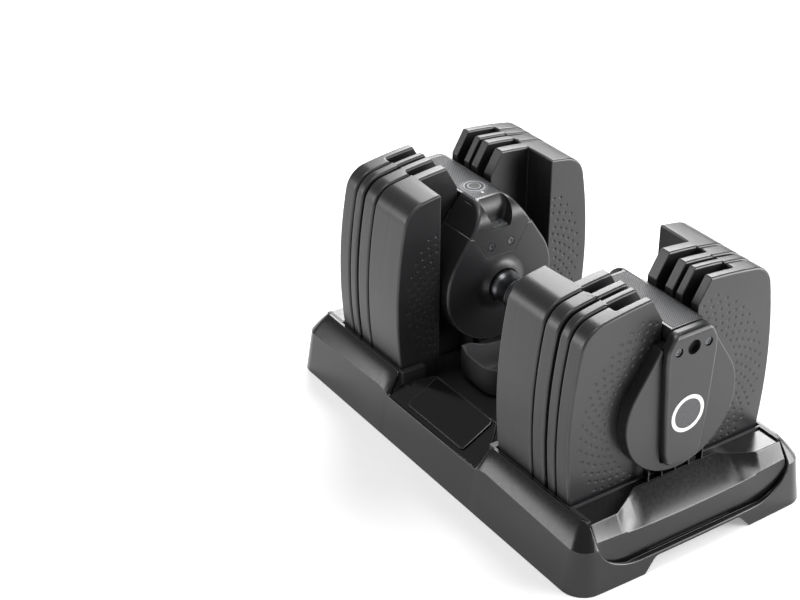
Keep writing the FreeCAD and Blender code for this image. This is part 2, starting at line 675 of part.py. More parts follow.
def build_tray():
    """The tray that the plates stand in: a thin moulding with wells, hollow underneath."""
    length, width = D.tray_half_length, D.tray_half_width
    outer = block("tray_block", (-length, length), (-width, width), (D.tray_low, D.rim_height))
    inner_length, inner_width = length - D.tray_wall, width - D.tray_wall
    under = block(
        "tray_under",
        (-inner_length, inner_length),
        (-inner_width, inner_width),
        (0, D.rim_height - D.tray_wall),
    )
    under = cut("tray_underside", under, *tray_openings(D.tray_wall, "grown"))
    tray = cut("tray_shell", outer, under, *tray_openings(0, "open"))
    posts, feet, holes = [], [], []
    for number, (x, y) in enumerate(four_of(D.foot_post_x, D.foot_post_y)):
        top = D.well_floor - D.tray_wall * 0.5
        posts.append(post(f"foot_post_{number}", D.foot_post_radius, (D.foot_thick, top), x, y))
        feet.append(post(f"rubber_foot_{number}", D.foot_radius, (0, D.foot_thick), x, y))
    radius = D.shank_radius + D.screw_gap
    for number, (x, y) in enumerate(four_of(D.cradle_screw_x, D.cradle_screw_y)):
        holes.append(post(f"tray_hole_{number}", radius, (D.tray_low, D.tray_floor + OVER), x, y))
    ear_z = (D.ear_low, D.ear_low + D.ear_thick)
    ear_end = D.ear_y + D.head_radius + D.ear_margin
    for number, (x, y) in enumerate(four_of(D.ear_x, D.ear_y)):
        across = (inner_width, ear_end) if y.value > 0 else (-ear_end, -inner_width)
        posts.append(block(f"ear_{number}", (x - D.ear_half, x + D.ear_half), across, ear_z))
        holes.append(post(f"ear_hole_{number}", radius, (D.tray_low, ear_z[1] + OVER), x, y))
    part(cut("tray", fuse("tray_with_posts", tray, *posts), *holes), "base_tray")
    part(group("feet", *feet), "rubber_feet")


def build_end_ramps():
    """The scooped ramp inside each end opening, with raised sides and five guide fins."""
    ramp = body("ramp")
    scoop = [
        to(D.ramp_start, D.ramp_low),
        to(D.ramp_foot_x, D.ramp_low),
        to(D.ramp_lip_x, D.ramp_lip_z),
        to(D.ramp_scoop_x, D.ramp_scoop_z, D.disc_radius, RIGHT),
        to(D.ramp_start, D.ramp_scoop_z),
    ]
    drawn = sketch(ramp, "scoop_line", "XZ_Plane", scoop)
    pad(ramp, "scoop_pad", drawn, D.ramp_half * 2, centred=True)
    lobe = [
        to(D.ramp_start, D.ramp_low),
        to(D.ramp_foot_x, D.ramp_low),
        to(D.ramp_lobe_lip_x, D.ramp_lobe_lip_z),
        to(D.ramp_lobe_x, D.rim_height),
        to(D.ramp_start, D.rim_height),
    ]
    lobe_width = D.ramp_half - D.ramp_lobe_inner
    for name, offset in (("left_lobe", D.ramp_lobe_inner), ("right_lobe", -D.ramp_half)):
        pad(ramp, name, sketch(ramp, f"{name}_line", "XZ_Plane", lobe, offset), lobe_width)
    hollow = rectangle(
        (D.ramp_start + D.ramp_wall, D.ramp_foot_x - D.ramp_wall * 2),
        (-D.ramp_half + D.ramp_wall, D.ramp_half - D.ramp_wall),
    )
    drawn = sketch(ramp, "ramp_hollow_line", "XY_Plane", hollow, D.ramp_low)
    pocket(ramp, "ramp_hollow", drawn, D.ramp_lip_z - D.ramp_wall - D.ramp_low)
    fins = []
    for step in (-2, -1, 0, 1, 2):
        middle = D.fin_pitch * step
        half = D.fin_thick * 0.5
        top = circle_foot(D.disc_radius + D.fin_gap, D.fin_pitch * abs(step) + half)
        fins.append(
            block(
                f"fin_{step + 3}",
                (D.fin_start, D.ramp_scoop_x),
                (middle - half, middle + half),
                (D.ramp_scoop_z - D.ramp_wall, top),
            )
        )
    both_ends(fuse("end_ramp", ramp, *fins), "end_ramp")


def build_cradles():
    """The bucket under each inner end of the handle, screwed to the tray from below."""
    bucket = body("bucket")
    corner = D.cradle_corner

    def outline(wall):
        nose_half = D.cradle_half - corner
        return closed_by_corner(
            [
                to(D.cradle_nose + wall, -nose_half),
                to(D.cradle_nose + wall, nose_half),
                to(D.cradle_nose + corner, D.cradle_half - wall, corner - wall, RIGHT),
                to(D.cradle_end - wall, D.cradle_half - wall),
                to(D.cradle_end - wall, -D.cradle_half + wall),
                to(D.cradle_nose + corner, -D.cradle_half + wall),
            ],
            corner - wall,
        )

    drawn = sketch(bucket, "bucket_line", "XY_Plane", outline(size(0)), D.tray_floor)
    pad(bucket, "bucket_pad", drawn, D.cradle_height - D.tray_floor)
    drawn = sketch(
        bucket, "bucket_inside", "XY_Plane", outline(D.cradle_wall), D.tray_floor + D.cradle_wall
    )
    pocket(bucket, "bucket_hollow", drawn, D.cradle_height - D.tray_floor)
    horn = block(
        "cradle_horn",
        (D.cradle_end - D.cradle_wall, D.cradle_end),
        (-D.cradle_horn_half, D.cradle_horn_half),
        (D.tray_floor, D.cradle_horn_height),
    )
    seat_start = D.cradle_end - D.cradle_wall * 2
    seat = rod("cradle_seat_cut", D.cradle_seat, (seat_start, D.cradle_end + OVER), 0, D.axis_height)
    holes, heads = [], []
    for number, side in enumerate((1, -1)):
        y = D.cradle_screw_y * side
        radius = D.shank_radius + D.screw_gap
        hole = (D.tray_floor - OVER, D.tray_floor + D.cradle_wall + OVER)
        holes.append(post(f"cradle_hole_{number}", radius, hole, D.cradle_screw_x, y))
        under = D.tray_floor - D.tray_wall
        top = D.tray_floor + D.cradle_wall
        heads.append(upright_screw(f"cradle_screw_{number}", under, top, D.cradle_screw_x, y))
        ear_top = D.ear_low + D.ear_thick + D.ear_boss - OVER * 2
        ear_y = D.ear_y * side
        heads.append(upright_screw(f"ear_screw_{number}", D.ear_low, ear_top, D.ear_x, ear_y))
    both_ends(cut("cradle", fuse("cradle_solid", bucket, horn), seat, *holes), "cradle")
    pair_of(group("base_screws_near", *heads), "base_screws")


def upright_screw(name, under, top, x, y):
    """A screw driven up from below: its head lies under the first piece it holds."""
    head = post(f"{name}_head", D.head_radius, (under - D.head_thick, under), x, y)
    return fuse(name, head, post(f"{name}_shank", D.shank_radius, (under, top), x, y))


def closed_by_corner(points, corner):
    """Closes a cradle's outline with the round corner that leads back to its first point."""
    first = points[0]
    return [(first[0], first[1], (corner, RIGHT))] + points[1:]


def build_release_posts():
    """The post that pushes each lock plunger up while the dumbbell stands in its base."""
    foot_z = (D.tray_floor, D.tray_floor + D.post_foot_thick)
    foot = post("post_foot", D.post_foot_radius, foot_z, D.post_x)
    stem = post("post_stem", D.post_radius, (D.tray_floor, D.post_top), D.post_x)
    pair_of(fuse("release_post", foot, stem), "release_posts")


# ---------------------------------------------------------------- the weight plates


def flipped(outline):
    """A closed outline's mirror image."""
    count = len(outline)
    later = [outline[(i + 1) % count][2] for i in range(count)]
    return [(-outline[i][0], outline[i][1], later[i]) for i in reversed(range(count))]


def steel_outline(grow):
    """The steel in a plate's right-hand lobe, seen along the handle."""
    inset = D.plate_skin * 2 - grow
    low = D.well_floor + inset
    near_slot = D.pocket_half + D.plate_skin - grow
    return [
        to(near_slot, low),
        to(D.plate_half_foot - inset, low),
        to(D.plate_half_shoulder - inset, D.plate_shoulder - D.plate_corner, D.plate_bow),
        to(D.plate_half_shoulder - D.plate_corner, D.plate_shoulder + grow),
        to(near_slot, D.plate_shoulder + grow),
    ]


def build_plate(name, inner, outer, web, back, hook_outward):
    """A plate: a moulded skin round steel, thinner between its lobes, with a hook."""
    skin = body(name)
    half = [
        to(D.plate_half_foot, D.well_floor),
        to(D.plate_half_shoulder, D.plate_shoulder, D.plate_bow),
        to(D.slot_mouth_half, D.slot_mouth_z, D.plate_bow),
        to(D.slot_half, D.slot_flare_z),
        to(D.slot_half, D.axis_height),
        to(0, D.axis_height - D.slot_half, D.slot_half, RIGHT),
    ]
    drawn = sketch(skin, f"{name}_line", "YZ_Plane", both_sides(half), inner)
    pad(skin, f"{name}_pad", drawn, outer - inner)

    def at_shoulder(edge):
        point = edge.firstVertex().Point
        on_side = abs(point.y) > D.pocket_half.value
        return runs_along_x(edge) and on_side and point.z > D.axis_height.value

    def at_foot(edge):
        point = edge.firstVertex().Point
        on_side = abs(point.y) > D.pocket_half.value
        return runs_along_x(edge) and on_side and point.z < D.axis_height.value

    round_edges(skin, f"{name}_shoulders", D.plate_corner, at_shoulder)
    round_edges(skin, f"{name}_feet", D.plate_foot_corner, at_foot)
    for side, limits in (("inner", (inner, web)), ("outer", (back, outer))):
        if limits[1].value > limits[0].value:
            near, far = (limits[0] - OVER, web) if side == "inner" else (back, limits[1] + OVER)
            space = rectangle((near, far), (-D.pocket_half, D.pocket_half))
            drawn = sketch(skin, f"{name}_{side}_line", "XY_Plane", space)
            pocket(skin, f"{name}_{side}_pocket", drawn, 2 * BEYOND, centred=True)
    hook = rectangle(
        (-D.hook_half, D.hook_half), (D.axis_height - D.hook_low, D.axis_height - D.hook_high)
    )
    start = back - OVER if hook_outward else web - D.hook_reach
    drawn = sketch(skin, f"{name}_hook_line", "YZ_Plane", hook, start)
    pad(skin, f"{name}_hook", drawn, D.hook_reach + OVER)
    cavity = steel_outline(D.steel_gap)
    steel = body(f"{name}_steel")
    depth = outer - inner - D.plate_skin * 2
    for side, line in (("right", cavity), ("left", flipped(cavity))):
        face = inner + D.plate_skin - D.steel_gap
        drawn = sketch(skin, f"{name}_{side}_space", "YZ_Plane", line, face)
        pocket(skin, f"{name}_{side}_cavity", drawn, depth + D.steel_gap * 2)
    drawn = sketch(steel, f"{name}_steel_line", "YZ_Plane", steel_outline(size(0)), inner + D.plate_skin)
    pad(steel, f"{name}_steel_pad", drawn, depth)
    both_ends(skin, name)
    steel_pair = group(f"{name}_steels", steel, mirror(steel, f"{name}_steel_left", "y"))
    both_ends(steel_pair, f"{name}_steel")


# ---------------------------------------------------------------- the turning core


def axle(name, radius, x):
    """A cylinder about the handle's axis."""
    return rod(name, radius, x, 0, D.axis_height)


def build_grip():
    """The grip sleeve and the two waisted collars on the drive tube."""
    bore = axle("tube_hole", D.tube_bore, (-D.tube_half - OVER, D.tube_half + OVER))
    tube = axle("tube_solid", D.tube_radius, (-D.tube_half, D.tube_half))
    part(cut("tube", tube, bore), "drive_tube")
    hole = axle("sleeve_hole", D.tube_radius, (-BEYOND, BEYOND))
    sleeve = axle("sleeve_solid", D.grip_radius, (-D.grip_half, D.grip_half))
    part(cut("sleeve", sleeve, hole), "grip_sleeve")
    collar = body("collar")
    start, flare = D.grip_half, D.collar_flare
    outline = [
        to(start, D.tube_radius),
        to(D.collar_end, D.tube_radius),
        to(D.collar_end, flare),
        to(D.collar_bead_x, flare),
        to(D.collar_neck_x, D.collar_neck, D.collar_bead_arc, RIGHT),
        to(D.collar_cuff_x, flare, D.collar_cuff_arc, RIGHT),
        to(start, flare),
    ]
    revolve(collar, "collar_turned", sketch(collar, "collar_line", "XZ_Plane", outline))
    put(collar, 0, 0, D.axis_height)
    both_ends(collar, "grip_collar")


STEP_ANGLE = 30  # turn of the grip that adds the next plate
LIP_LEAD = 12  # how early a lip arrives under its hook
LIP_END = 135  # turn after which no plate is held


def sector(name, radius, x, start_angle, span):
    """Part of a cylinder about the axis. Angles run from the bottom towards +Y."""
    made = axle(name, radius, x)
    made.Angle = span
    turn = ALONG_X.multiply(FreeCAD.Rotation(FreeCAD.Vector(0, 0, 1), start_angle))
    return put(made, x[0], 0, D.axis_height, turn)


def selector_disc(label, start, first_plate):
    """A disc between two plates, with a lip on each face for the plate on that side."""
    web = (start, start + D.web_thick)
    hub = (start - D.hub_reach, web[1] + D.hub_reach)
    solids = [axle(f"{label}_web", D.web_radius, web), axle(f"{label}_hub", D.selector_hub, hub)]
    sides = ((start - D.lip_reach, start + OVER), (web[1] - OVER, web[1] + D.lip_reach))
    for plate, x in zip((first_plate, first_plate + 1), sides):
        first_turn, last_turn = STEP_ANGLE * plate - LIP_LEAD, LIP_END
        span = last_turn - first_turn
        outer = sector(f"{label}_lip_{plate}_outer", D.web_radius, x, -last_turn, span)
        inner = axle(f"{label}_lip_{plate}_inner", D.lip_inner, (x[0] - OVER, x[1] + OVER))
        solids.append(cut(f"{label}_lip_{plate}", outer, inner))
    bore = axle(f"{label}_bore", D.tube_radius, (hub[0] - OVER, hub[1] + OVER))
    return cut(label, fuse(f"{label}_solid", *solids), bore)


def build_selectors():
    inner = selector_disc("disc_a", D.disc_a_start, 1)
    outer = selector_disc("disc_b", D.disc_b_start, 3)
    both_ends(group("selector_discs", inner, outer), "selector")


def build_number_drum():
    """The drum whose rim shows through the window in the cover's notch."""
    rim = axle("drum_rim", D.drum_radius, (D.drum_start, D.drum_end))
    inside = (D.drum_start - OVER, D.drum_end - D.drum_wall)
    hollow = axle("drum_inside", D.drum_radius - D.drum_wall, inside)
    hub_end = D.drum_end + D.drum_hub_reach
    hub = axle("drum_hub", D.selector_hub, (D.drum_end - D.drum_hub_reach, hub_end))
    bore = axle("drum_bore", D.tube_radius, (D.drum_start - OVER, hub_end + OVER))
    ring = cut("drum_ring", rim, hollow)
    both_ends(cut("drum", fuse("drum_solid", ring, hub), bore), "number_drum")


# ---------------------------------------------------------------- the fixed frame of the handle


def cover_outline(radius, flank, top):
    """The covers' teardrop outline: a circle about the axis and two straight flanks."""
    return [to(0, D.axis_height - radius), to(flank, D.flank_low, radius)] + top


def build_shaft():
    """The fixed shaft through both covers, and the nuts that keep the drive tube in place."""
    part(axle("shaft", D.shaft_radius, (-D.shaft_half, D.shaft_half)), "fixed_shaft")
    nut = body("nut")
    corner = size(D.nut_flat.value / math.cos(math.pi / 6))
    corner.text = f"({D.nut_flat.text} / cos(30))"
    half_corner, flat = corner * 0.5, D.nut_flat
    hexagon = both_sides([to(half_corner, -flat), to(corner, 0), to(half_corner, flat)])
    start = D.tube_half + D.nut_gap
    pad(nut, "nut_pad", sketch(nut, "nut_line", "YZ_Plane", hexagon, start), D.nut_thick)
    put(nut, 0, 0, D.axis_height)
    threaded = cut("shaft_nut", nut, axle("nut_hole", D.shaft_radius, (0, BEYOND)))
    pair_of(threaded, "shaft_nuts")
    bush_end = D.cover_face + D.bush_length
    bush = axle("bush_solid", D.bush_radius, (D.cover_face, bush_end))
    hole = axle("bush_hole", D.bush_bore, (0, BEYOND))
    pair_of(cut("bush", bush, hole), "bushings")


def build_inner_cover():
    """The round housing at the inner end, its crown and bridge, its back plate and window."""
    shell = body("shell")
    crown = [
        to(D.neck_half, D.neck_height),
        to(D.crown_half, D.crown_low),
        to(D.crown_top_half, D.bridge_top),
    ]
    outline = both_sides(cover_outline(D.cover_radius, D.flank_half, crown))
    drawn = sketch(shell, "shell_line", "YZ_Plane", outline, D.cover_face)
    pad(shell, "shell_pad", drawn, D.cover_back - D.cover_face)
    beyond_top = D.bridge_top + OVER
    roll = [
        to(D.cover_face, D.roll_start),
        to(D.bridge_start, D.bridge_top, D.roll_radius, RIGHT),
        to(D.bridge_start, beyond_top),
        to(D.cover_face - OVER, beyond_top),
        to(D.cover_face - OVER, D.roll_start),
    ]
    pocket(shell, "roll", sketch(shell, "roll_line", "XZ_Plane", roll), BEYOND, centred=True)
    wall = D.cover_wall
    ceiling = [to(D.ceiling_half, D.ceiling)]
    inside = both_sides(cover_outline(D.cover_radius - wall, D.flank_half - wall, ceiling))
    drawn = sketch(shell, "inside_line", "YZ_Plane", inside, D.cover_face + wall)
    pocket(shell, "inside", drawn, D.cover_back - D.cover_face)
    notch = both_sides(
        [to(D.notch_half, D.notch_floor), to(D.notch_top_half, beyond_top)]
    )
    drawn = sketch(shell, "crown_notch_line", "YZ_Plane", notch, D.cover_face - OVER)
    pocket(shell, "crown_notch", drawn, D.notch_back - D.cover_face + OVER)
    zone = body("crown_zone")
    above = both_sides(
        [
            to(D.seam_low_half, D.seam_low),
            to(D.seam_top_half, D.ceiling),
            to(D.cover_radius, D.ceiling),
            to(D.cover_radius, beyond_top),
        ]
    )
    pad(zone, "zone_pad", sketch(zone, "zone_line", "YZ_Plane", above, 0), D.cover_back)
    backing_end = D.cover_face + wall * 2
    backing = block(
        "screw_wall",
        (D.cover_face + wall, backing_end),
        (-D.screw_wall_half, D.screw_wall_half),
        (D.screw_wall_low, D.screw_wall_high),
    )
    boss = axle("bush_boss", D.bush_boss, (D.cover_face, D.cover_face + D.bush_length))
    bore = axle("bush_bore", D.bush_radius, (0, D.cover_back))
    low_hole = (D.plunger_low, D.flange_low + D.flange_travel)
    plunger_hole = post("plunger_hole", D.plunger_radius + D.plunger_gap, low_hole, D.post_x)
    shanks, seats, screws, bosses = [], [], [], []
    for number, side in enumerate((1, -1)):
        y, z = D.cover_screw_y * side, D.cover_screw_z
        hole = D.shank_radius + D.screw_gap
        end = D.cover_screw_end
        head = (D.cover_face, D.cover_face + D.head_thick)
        seat = D.head_radius + D.screw_gap
        shanks.append(rod(f"cover_shank_hole_{number}", hole, (D.cover_face - OVER, end + OVER), y, z))
        seats.append(rod(f"cover_head_seat_{number}", seat, (D.cover_face - OVER, head[1]), y, z))
        boss_x = (backing_end - OVER, end)
        bosses.append(rod(f"cover_boss_{number}", hole + D.boss_wall, boss_x, y, z))
        screws.append(
            fuse(
                f"cover_screw_{number}",
                rod(f"cover_head_{number}", D.head_radius, head, y, z),
                rod(f"cover_shank_{number}", D.shank_radius, (head[0], end), y, z),
            )
        )
    housing = fuse("housing", cut("housing_shell", shell, zone), backing, boss, *bosses)
    both_ends(cut("inner_cover", housing, bore, plunger_hole, *shanks), "inner_cover")
    pair_of(group("cover_screws_near", *screws), "cover_screws")
    build_bridge(cut("crown", shell, window_hole()), zone, shanks + seats)
    build_back_plate()
    low, high = D.notch_floor, D.notch_floor + D.window_thick
    window = block(
        "window",
        (D.cover_face + wall, D.notch_back - D.window_gap),
        (-D.window_half, D.window_half),
        (low, high),
    )
    pair_of(window, "number_windows")


def window_hole():
    """The hole under the window, through the floor of the notch."""
    half = D.window_half - D.window_rebate
    return block(
        "window_hole",
        (D.cover_face + D.cover_wall + D.window_rebate, D.notch_back - D.window_rebate),
        (-half, half),
        (D.ceiling - OVER, D.notch_floor + OVER),
    )


def build_bridge(crown_shell, zone, screw_cuts):
    """The crown with its front wedge, and the beam that joins it to the outer end."""
    crown = doc.addObject("Part::Common", "crown_part")
    crown.Base, crown.Tool = crown_shell, zone
    half = D.bridge_half
    top = D.bridge_top
    beam = block("beam", (D.cover_back - OVER, D.bridge_end), (-half, half), (D.bridge_low, top))
    inside = half - D.cover_wall
    channel = block(
        "beam_channel",
        (D.channel_start, D.bridge_end - D.channel_wall),
        (-inside, inside),
        (D.bridge_low - OVER, top - D.channel_wall),
    )
    label = (D.bridge_start, D.label_end)
    label_y = (-D.label_half, D.label_half)
    seat = block("label_seat", label, label_y, (top - D.label_thick, top + OVER))
    near = cut("bridge", fuse("bridge_solid", crown, beam), channel, seat, *screw_cuts)
    part(near, "bridge_near")
    hole_radius = D.button_radius + D.button_gap
    hole = post("button_hole", hole_radius, (D.bridge_seat, top + OVER), -D.button_x)
    part(cut("bridge_far_cut", mirror(near, "bridge_copy"), hole), "bridge_far")
    plain = block("label", label, label_y, (top - D.label_thick, top))
    part(plain, "label_near")
    part(cut("label_far_cut", mirror(plain, "label_copy"), hole), "label_far")
    button_z = (D.button_low, D.button_top)
    part(post("button", D.button_radius, button_z, -D.button_x), "mode_button")


def build_back_plate():
    """The plate that closes the inner cover, with the bracket that guides the lock plunger."""
    plate = body("closing_plate")
    top = [to(D.neck_half, D.neck_height)]
    outline = both_sides(cover_outline(D.cover_radius, D.flank_half, top))
    drawn = sketch(plate, "closing_line", "YZ_Plane", outline, D.cover_back)
    pad(plate, "closing_pad", drawn, D.back_plate_end - D.cover_back)
    reach = D.plunger_flange
    bracket = block(
        "bracket",
        (D.post_x - reach, D.cover_back + OVER),
        (-reach, reach),
        (D.guide_low, D.guide_low + D.guide_thick),
    )
    bore_x = (D.cover_back - OVER, D.back_plate_end + OVER)
    bore = axle("closing_bore", D.shaft_boss, bore_x)
    guide = (D.guide_low - OVER, D.guide_low + D.guide_thick + OVER)
    guide_hole = post("guide_hole", D.stem_radius + D.stem_gap, guide, D.post_x)
    under_beam = (D.bridge_low - D.beam_gap, D.bridge_top)
    beam_space = block("beam_space", (0, BEYOND), (-D.bridge_half, D.bridge_half), under_beam)
    whole = fuse("closing_solid", plate, bracket)
    both_ends(cut("back_plate", whole, bore, guide_hole, beam_space), "back_plate")


def build_lock():
    """The sprung plunger that locks the grip once the handle leaves the base."""
    pieces = [
        post("plunger_pin", D.plunger_radius, (D.plunger_low, D.flange_low + OVER), D.post_x),
        post(
            "plunger_disc",
            D.plunger_flange,
            (D.flange_low, D.flange_low + D.flange_thick),
            D.post_x,
        ),
        post("plunger_stem", D.stem_radius, (D.flange_low, D.stem_top), D.post_x),
    ]
    both_ends(fuse("plunger", *pieces), "lock_plunger")
    wire, coil = D.spring_wire.value, D.spring_coil.value
    margin = wire + D.spring_gap.value
    low = D.flange_low.value + D.flange_thick.value + margin
    height = D.guide_low.value - margin - low
    helix = Part.makeHelix(height / SPRING_TURNS, height, coil)
    section = Part.Wire(Part.makeCircle(wire, FreeCAD.Vector(coil, 0, 0), FreeCAD.Vector(0, 1, 0)))
    spring = doc.addObject("Part::Feature", "spring")
    spring.Shape = Part.Wire(helix).makePipeShell([section], True, True)
    spring.Placement = FreeCAD.Placement(FreeCAD.Vector(D.post_x.value, 0, low), UPRIGHT)
    both_ends(spring, "lock_spring")


def build_outer_cover():
    """The outer teardrop cover, the end bar set into it, the badge and the bar's screws."""
    shell = body("disc")
    top = [to(D.neck_half, D.neck_height)]
    outline = both_sides(cover_outline(D.disc_radius, D.flank_half, top))
    drawn = sketch(shell, "disc_line", "YZ_Plane", outline, D.disc_back)
    pad(shell, "disc_pad", drawn, D.disc_face - D.disc_back)
    wall = D.cover_wall
    low_ceiling = [to(D.ceiling_half, D.ceiling)]
    inside = both_sides(cover_outline(D.disc_radius - wall, D.flank_half - wall, low_ceiling))
    depth = D.bar_back - wall - D.disc_back
    drawn = sketch(shell, "disc_inside_line", "YZ_Plane", inside, D.disc_back)
    pocket(shell, "disc_inside", drawn, depth)
    boss = axle("shaft_boss", D.shaft_boss, (D.disc_back + OVER, D.bar_back - OVER))
    bore = axle("shaft_seat", D.shaft_radius, (D.disc_back - OVER, D.shaft_half))
    bar_seat = body("bar_seat")
    drawn = sketch(bar_seat, "bar_seat_line", "YZ_Plane", bar_outline(D.screw_gap), D.bar_back)
    pad(bar_seat, "bar_seat_pad", drawn, D.bar_face - D.bar_back)
    bar = body("bar")
    drawn = sketch(bar, "bar_line", "YZ_Plane", bar_outline(size(0)), D.bar_back)
    pad(bar, "bar_pad", drawn, D.bar_face - D.bar_back)
    face = D.bar_face
    badge_seat = (face - D.badge_sunk, face + OVER)
    cuts = [
        rod("round_hole", D.bar_hole, (face - D.bar_hole_depth, face + OVER), 0, D.bar_screw_z),
        rod("badge_seat", D.badge_outer + D.badge_gap, badge_seat, 0, D.badge_z),
    ]
    shanks, screws = [], []
    for number, side in enumerate((1, -1)):
        y, z = D.bar_screw_y * side, D.bar_screw_z
        head = (face - D.head_sunk - D.head_thick, face - D.head_sunk)
        end = D.bar_screw_start
        hole = D.shank_radius + D.screw_gap
        seat = D.head_radius + D.head_gap
        cuts.append(rod(f"bar_head_seat_{number}", seat, (head[0], face + OVER), y, z))
        shanks.append(rod(f"bar_shank_hole_{number}", hole, (end - OVER, face), y, z))
        screws.append(
            fuse(
                f"bar_screw_{number}",
                rod(f"bar_head_{number}", D.head_radius, head, y, z),
                rod(f"bar_shank_{number}", D.shank_radius, (end, head[1]), y, z),
            )
        )
    solid = fuse("disc_solid", shell, boss)
    both_ends(cut("outer_cover", solid, bore, bar_seat, *shanks), "outer_cover")
    both_ends(cut("end_bar", bar, *cuts, *shanks), "end_bar")
    pair_of(group("bar_screws_near", *screws), "bar_screws")
    low = face - D.badge_sunk
    high = low + D.badge_thick
    rim = rod("badge_rim", D.badge_outer, (low, high), 0, D.badge_z)
    hole = rod("badge_hole", D.badge_inner, (low - OVER, high + OVER), 0, D.badge_z)
    pair_of(cut("badge_ring", rim, hole), "badge_rings")
    centre = rod("badge_disc", D.badge_inner - D.badge_gap, (low, high - D.badge_gap), 0, D.badge_z)
    pair_of(centre, "badge_centres")


def bar_outline(grow):
    """The end bar's outline, grown by a clearance."""
    return both_sides(
        [
            to(0, D.bar_foot_low - grow),
            to(D.bar_foot_half, D.bar_foot_z - grow, D.bar_foot_radius + grow),
            to(D.bar_side_half + grow, D.bar_side_z, D.bar_foot_corner + grow),
            to(D.bar_wide_half + grow, D.bar_wide_z),
            to(D.bar_waist_half + grow, D.bar_waist_z),
            to(D.bar_top_half, D.bar_top + grow, D.bar_shoulder + grow),
        ]
    )


def build_sensor_board():
    """The small circuit board behind the number drum at the far end."""
    along = (-D.board_start - D.board_thick, -D.board_start)
    across = (-D.board_half, D.board_half)
    part(block("board", along, across, (D.board_low, D.board_high)), "sensor_board")


build_skirt()
build_side_panels()
build_tray()
build_end_ramps()
build_cradles()
build_release_posts()
build_plate("plate_1", D.plate_1_inner, D.plate_1_outer, D.plate_1_web, D.plate_1_back, True)
build_plate("plate_2", D.plate_2_inner, D.plate_2_outer, D.plate_2_web, D.plate_2_back, False)
build_plate("plate_3", D.plate_3_inner, D.plate_3_outer, D.plate_3_web, D.plate_3_back, True)
build_plate("plate_4", D.plate_4_inner, D.plate_4_outer, D.plate_4_web, D.plate_4_outer, False)
build_grip()
build_selectors()
build_number_drum()
build_shaft()
build_inner_cover()
build_outer_cover()
build_lock()
build_sensor_board()
doc.recompute()

# ---------------------------------------------------------------- checks and files

for thing in doc.Objects:
    if {"Invalid", "Error"} & set(thing.State):
        raise RuntimeError(f"{thing.Name} ({thing.Label}) failed: {thing.State}")
for piece in parts:
    shape = piece.Shape
    if shape.isNull() or not shape.isValid() or not shape.Solids:
        raise RuntimeError(f"{piece.Label} has no valid solid")

os.makedirs("parts", exist_ok=True)
for piece in parts:
    piece.Shape.exportStep(f"parts/{piece.Label}.step")
    box = piece.Shape.BoundBox
    size_text = f"{box.XLength:.1f} x {box.YLength:.1f} x {box.ZLength:.1f}"
    print(f"{piece.Label}: {len(piece.Shape.Solids)} solid(s), {size_text}, {piece.Shape.Volume:.0f}")
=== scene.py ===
import math

import bmesh
import bpy
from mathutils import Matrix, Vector


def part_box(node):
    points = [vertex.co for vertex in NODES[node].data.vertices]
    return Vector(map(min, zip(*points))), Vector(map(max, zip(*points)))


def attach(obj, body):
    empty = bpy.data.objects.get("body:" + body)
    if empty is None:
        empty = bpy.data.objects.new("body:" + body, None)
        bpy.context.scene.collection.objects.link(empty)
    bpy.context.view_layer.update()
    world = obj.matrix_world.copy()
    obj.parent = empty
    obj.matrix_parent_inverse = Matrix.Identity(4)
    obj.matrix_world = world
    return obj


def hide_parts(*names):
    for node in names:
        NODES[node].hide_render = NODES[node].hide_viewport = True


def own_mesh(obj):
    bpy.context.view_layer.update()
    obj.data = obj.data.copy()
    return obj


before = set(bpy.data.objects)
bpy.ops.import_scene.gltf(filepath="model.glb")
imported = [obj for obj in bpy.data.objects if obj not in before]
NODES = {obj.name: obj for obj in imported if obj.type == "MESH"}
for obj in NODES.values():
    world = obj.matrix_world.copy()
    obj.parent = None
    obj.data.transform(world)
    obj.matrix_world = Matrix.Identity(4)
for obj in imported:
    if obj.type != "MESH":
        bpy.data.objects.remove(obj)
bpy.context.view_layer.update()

scene = bpy.context.scene
ENDS = (("near", 1), ("far", -1))  # the end of the dumbbell, and the sign of its X

# ------------------------------------------------------------------ outer wall of the base
# The outer wall is one thin shell of ABS, injection moulded in a polished mould. It leans in a
# little, bends to a chamfer, and is open at both ends and dipped on both long sides. Screws from
# below join it to the tray. Sizes here are in millimetres, and those of geometry trees in metres.


def linear(colour):
    """An sRGB hex colour as linear red, green, blue and alpha."""
    levels = [int(colour[i : i + 2], 16) / 255 for i in (1, 3, 5)]
    return [c / 12.92 if c <= 0.04045 else ((c + 0.055) / 1.055) ** 2.4 for c in levels] + [1.0]


def add(tree, kind, inputs=None, **settings):
    """Adds one node. An input is set to a value, or linked to a socket or to a node's first output.
    A tuple such as ("ADD", a, b) stands for that arithmetic, and a and b may be tuples again."""
    node = tree.nodes.new(kind)
    for name, value in settings.items():
        setattr(node, name, value)
    for name, value in (inputs or {}).items():
        if isinstance(value, tuple) and isinstance(value[0], str):
            value = add(tree, "ShaderNodeMath", dict(enumerate(value[1:])), operation=value[0])
        if isinstance(value, bpy.types.Node):
            value = value.outputs[0]
        if isinstance(value, bpy.types.NodeSocket):
            tree.links.new(value, node.inputs[name])
        else:
            node.inputs[name].default_value = value
    return node


def blank(name):
    """A new material with an empty node tree, and that tree."""
    finish = bpy.data.materials.new(name)
    finish.use_nodes = True
    finish.node_tree.nodes.clear()
    return finish, finish.node_tree


CLOUD = 71.4  # width of the soft clouds of shade in a moulding
PATCH = 35.7  # width of the patches in which rounded edges are paler, as wear and as a painted highlight
NOISE_LOW, NOISE_HIGH = 0.3, 0.7  # a noise lies mostly between these
GLOSS_SPREAD = 0.04  # how far the roughness strays to either side
POLISHED = 0.75  # share of the roughness that is left on an edge worn smooth


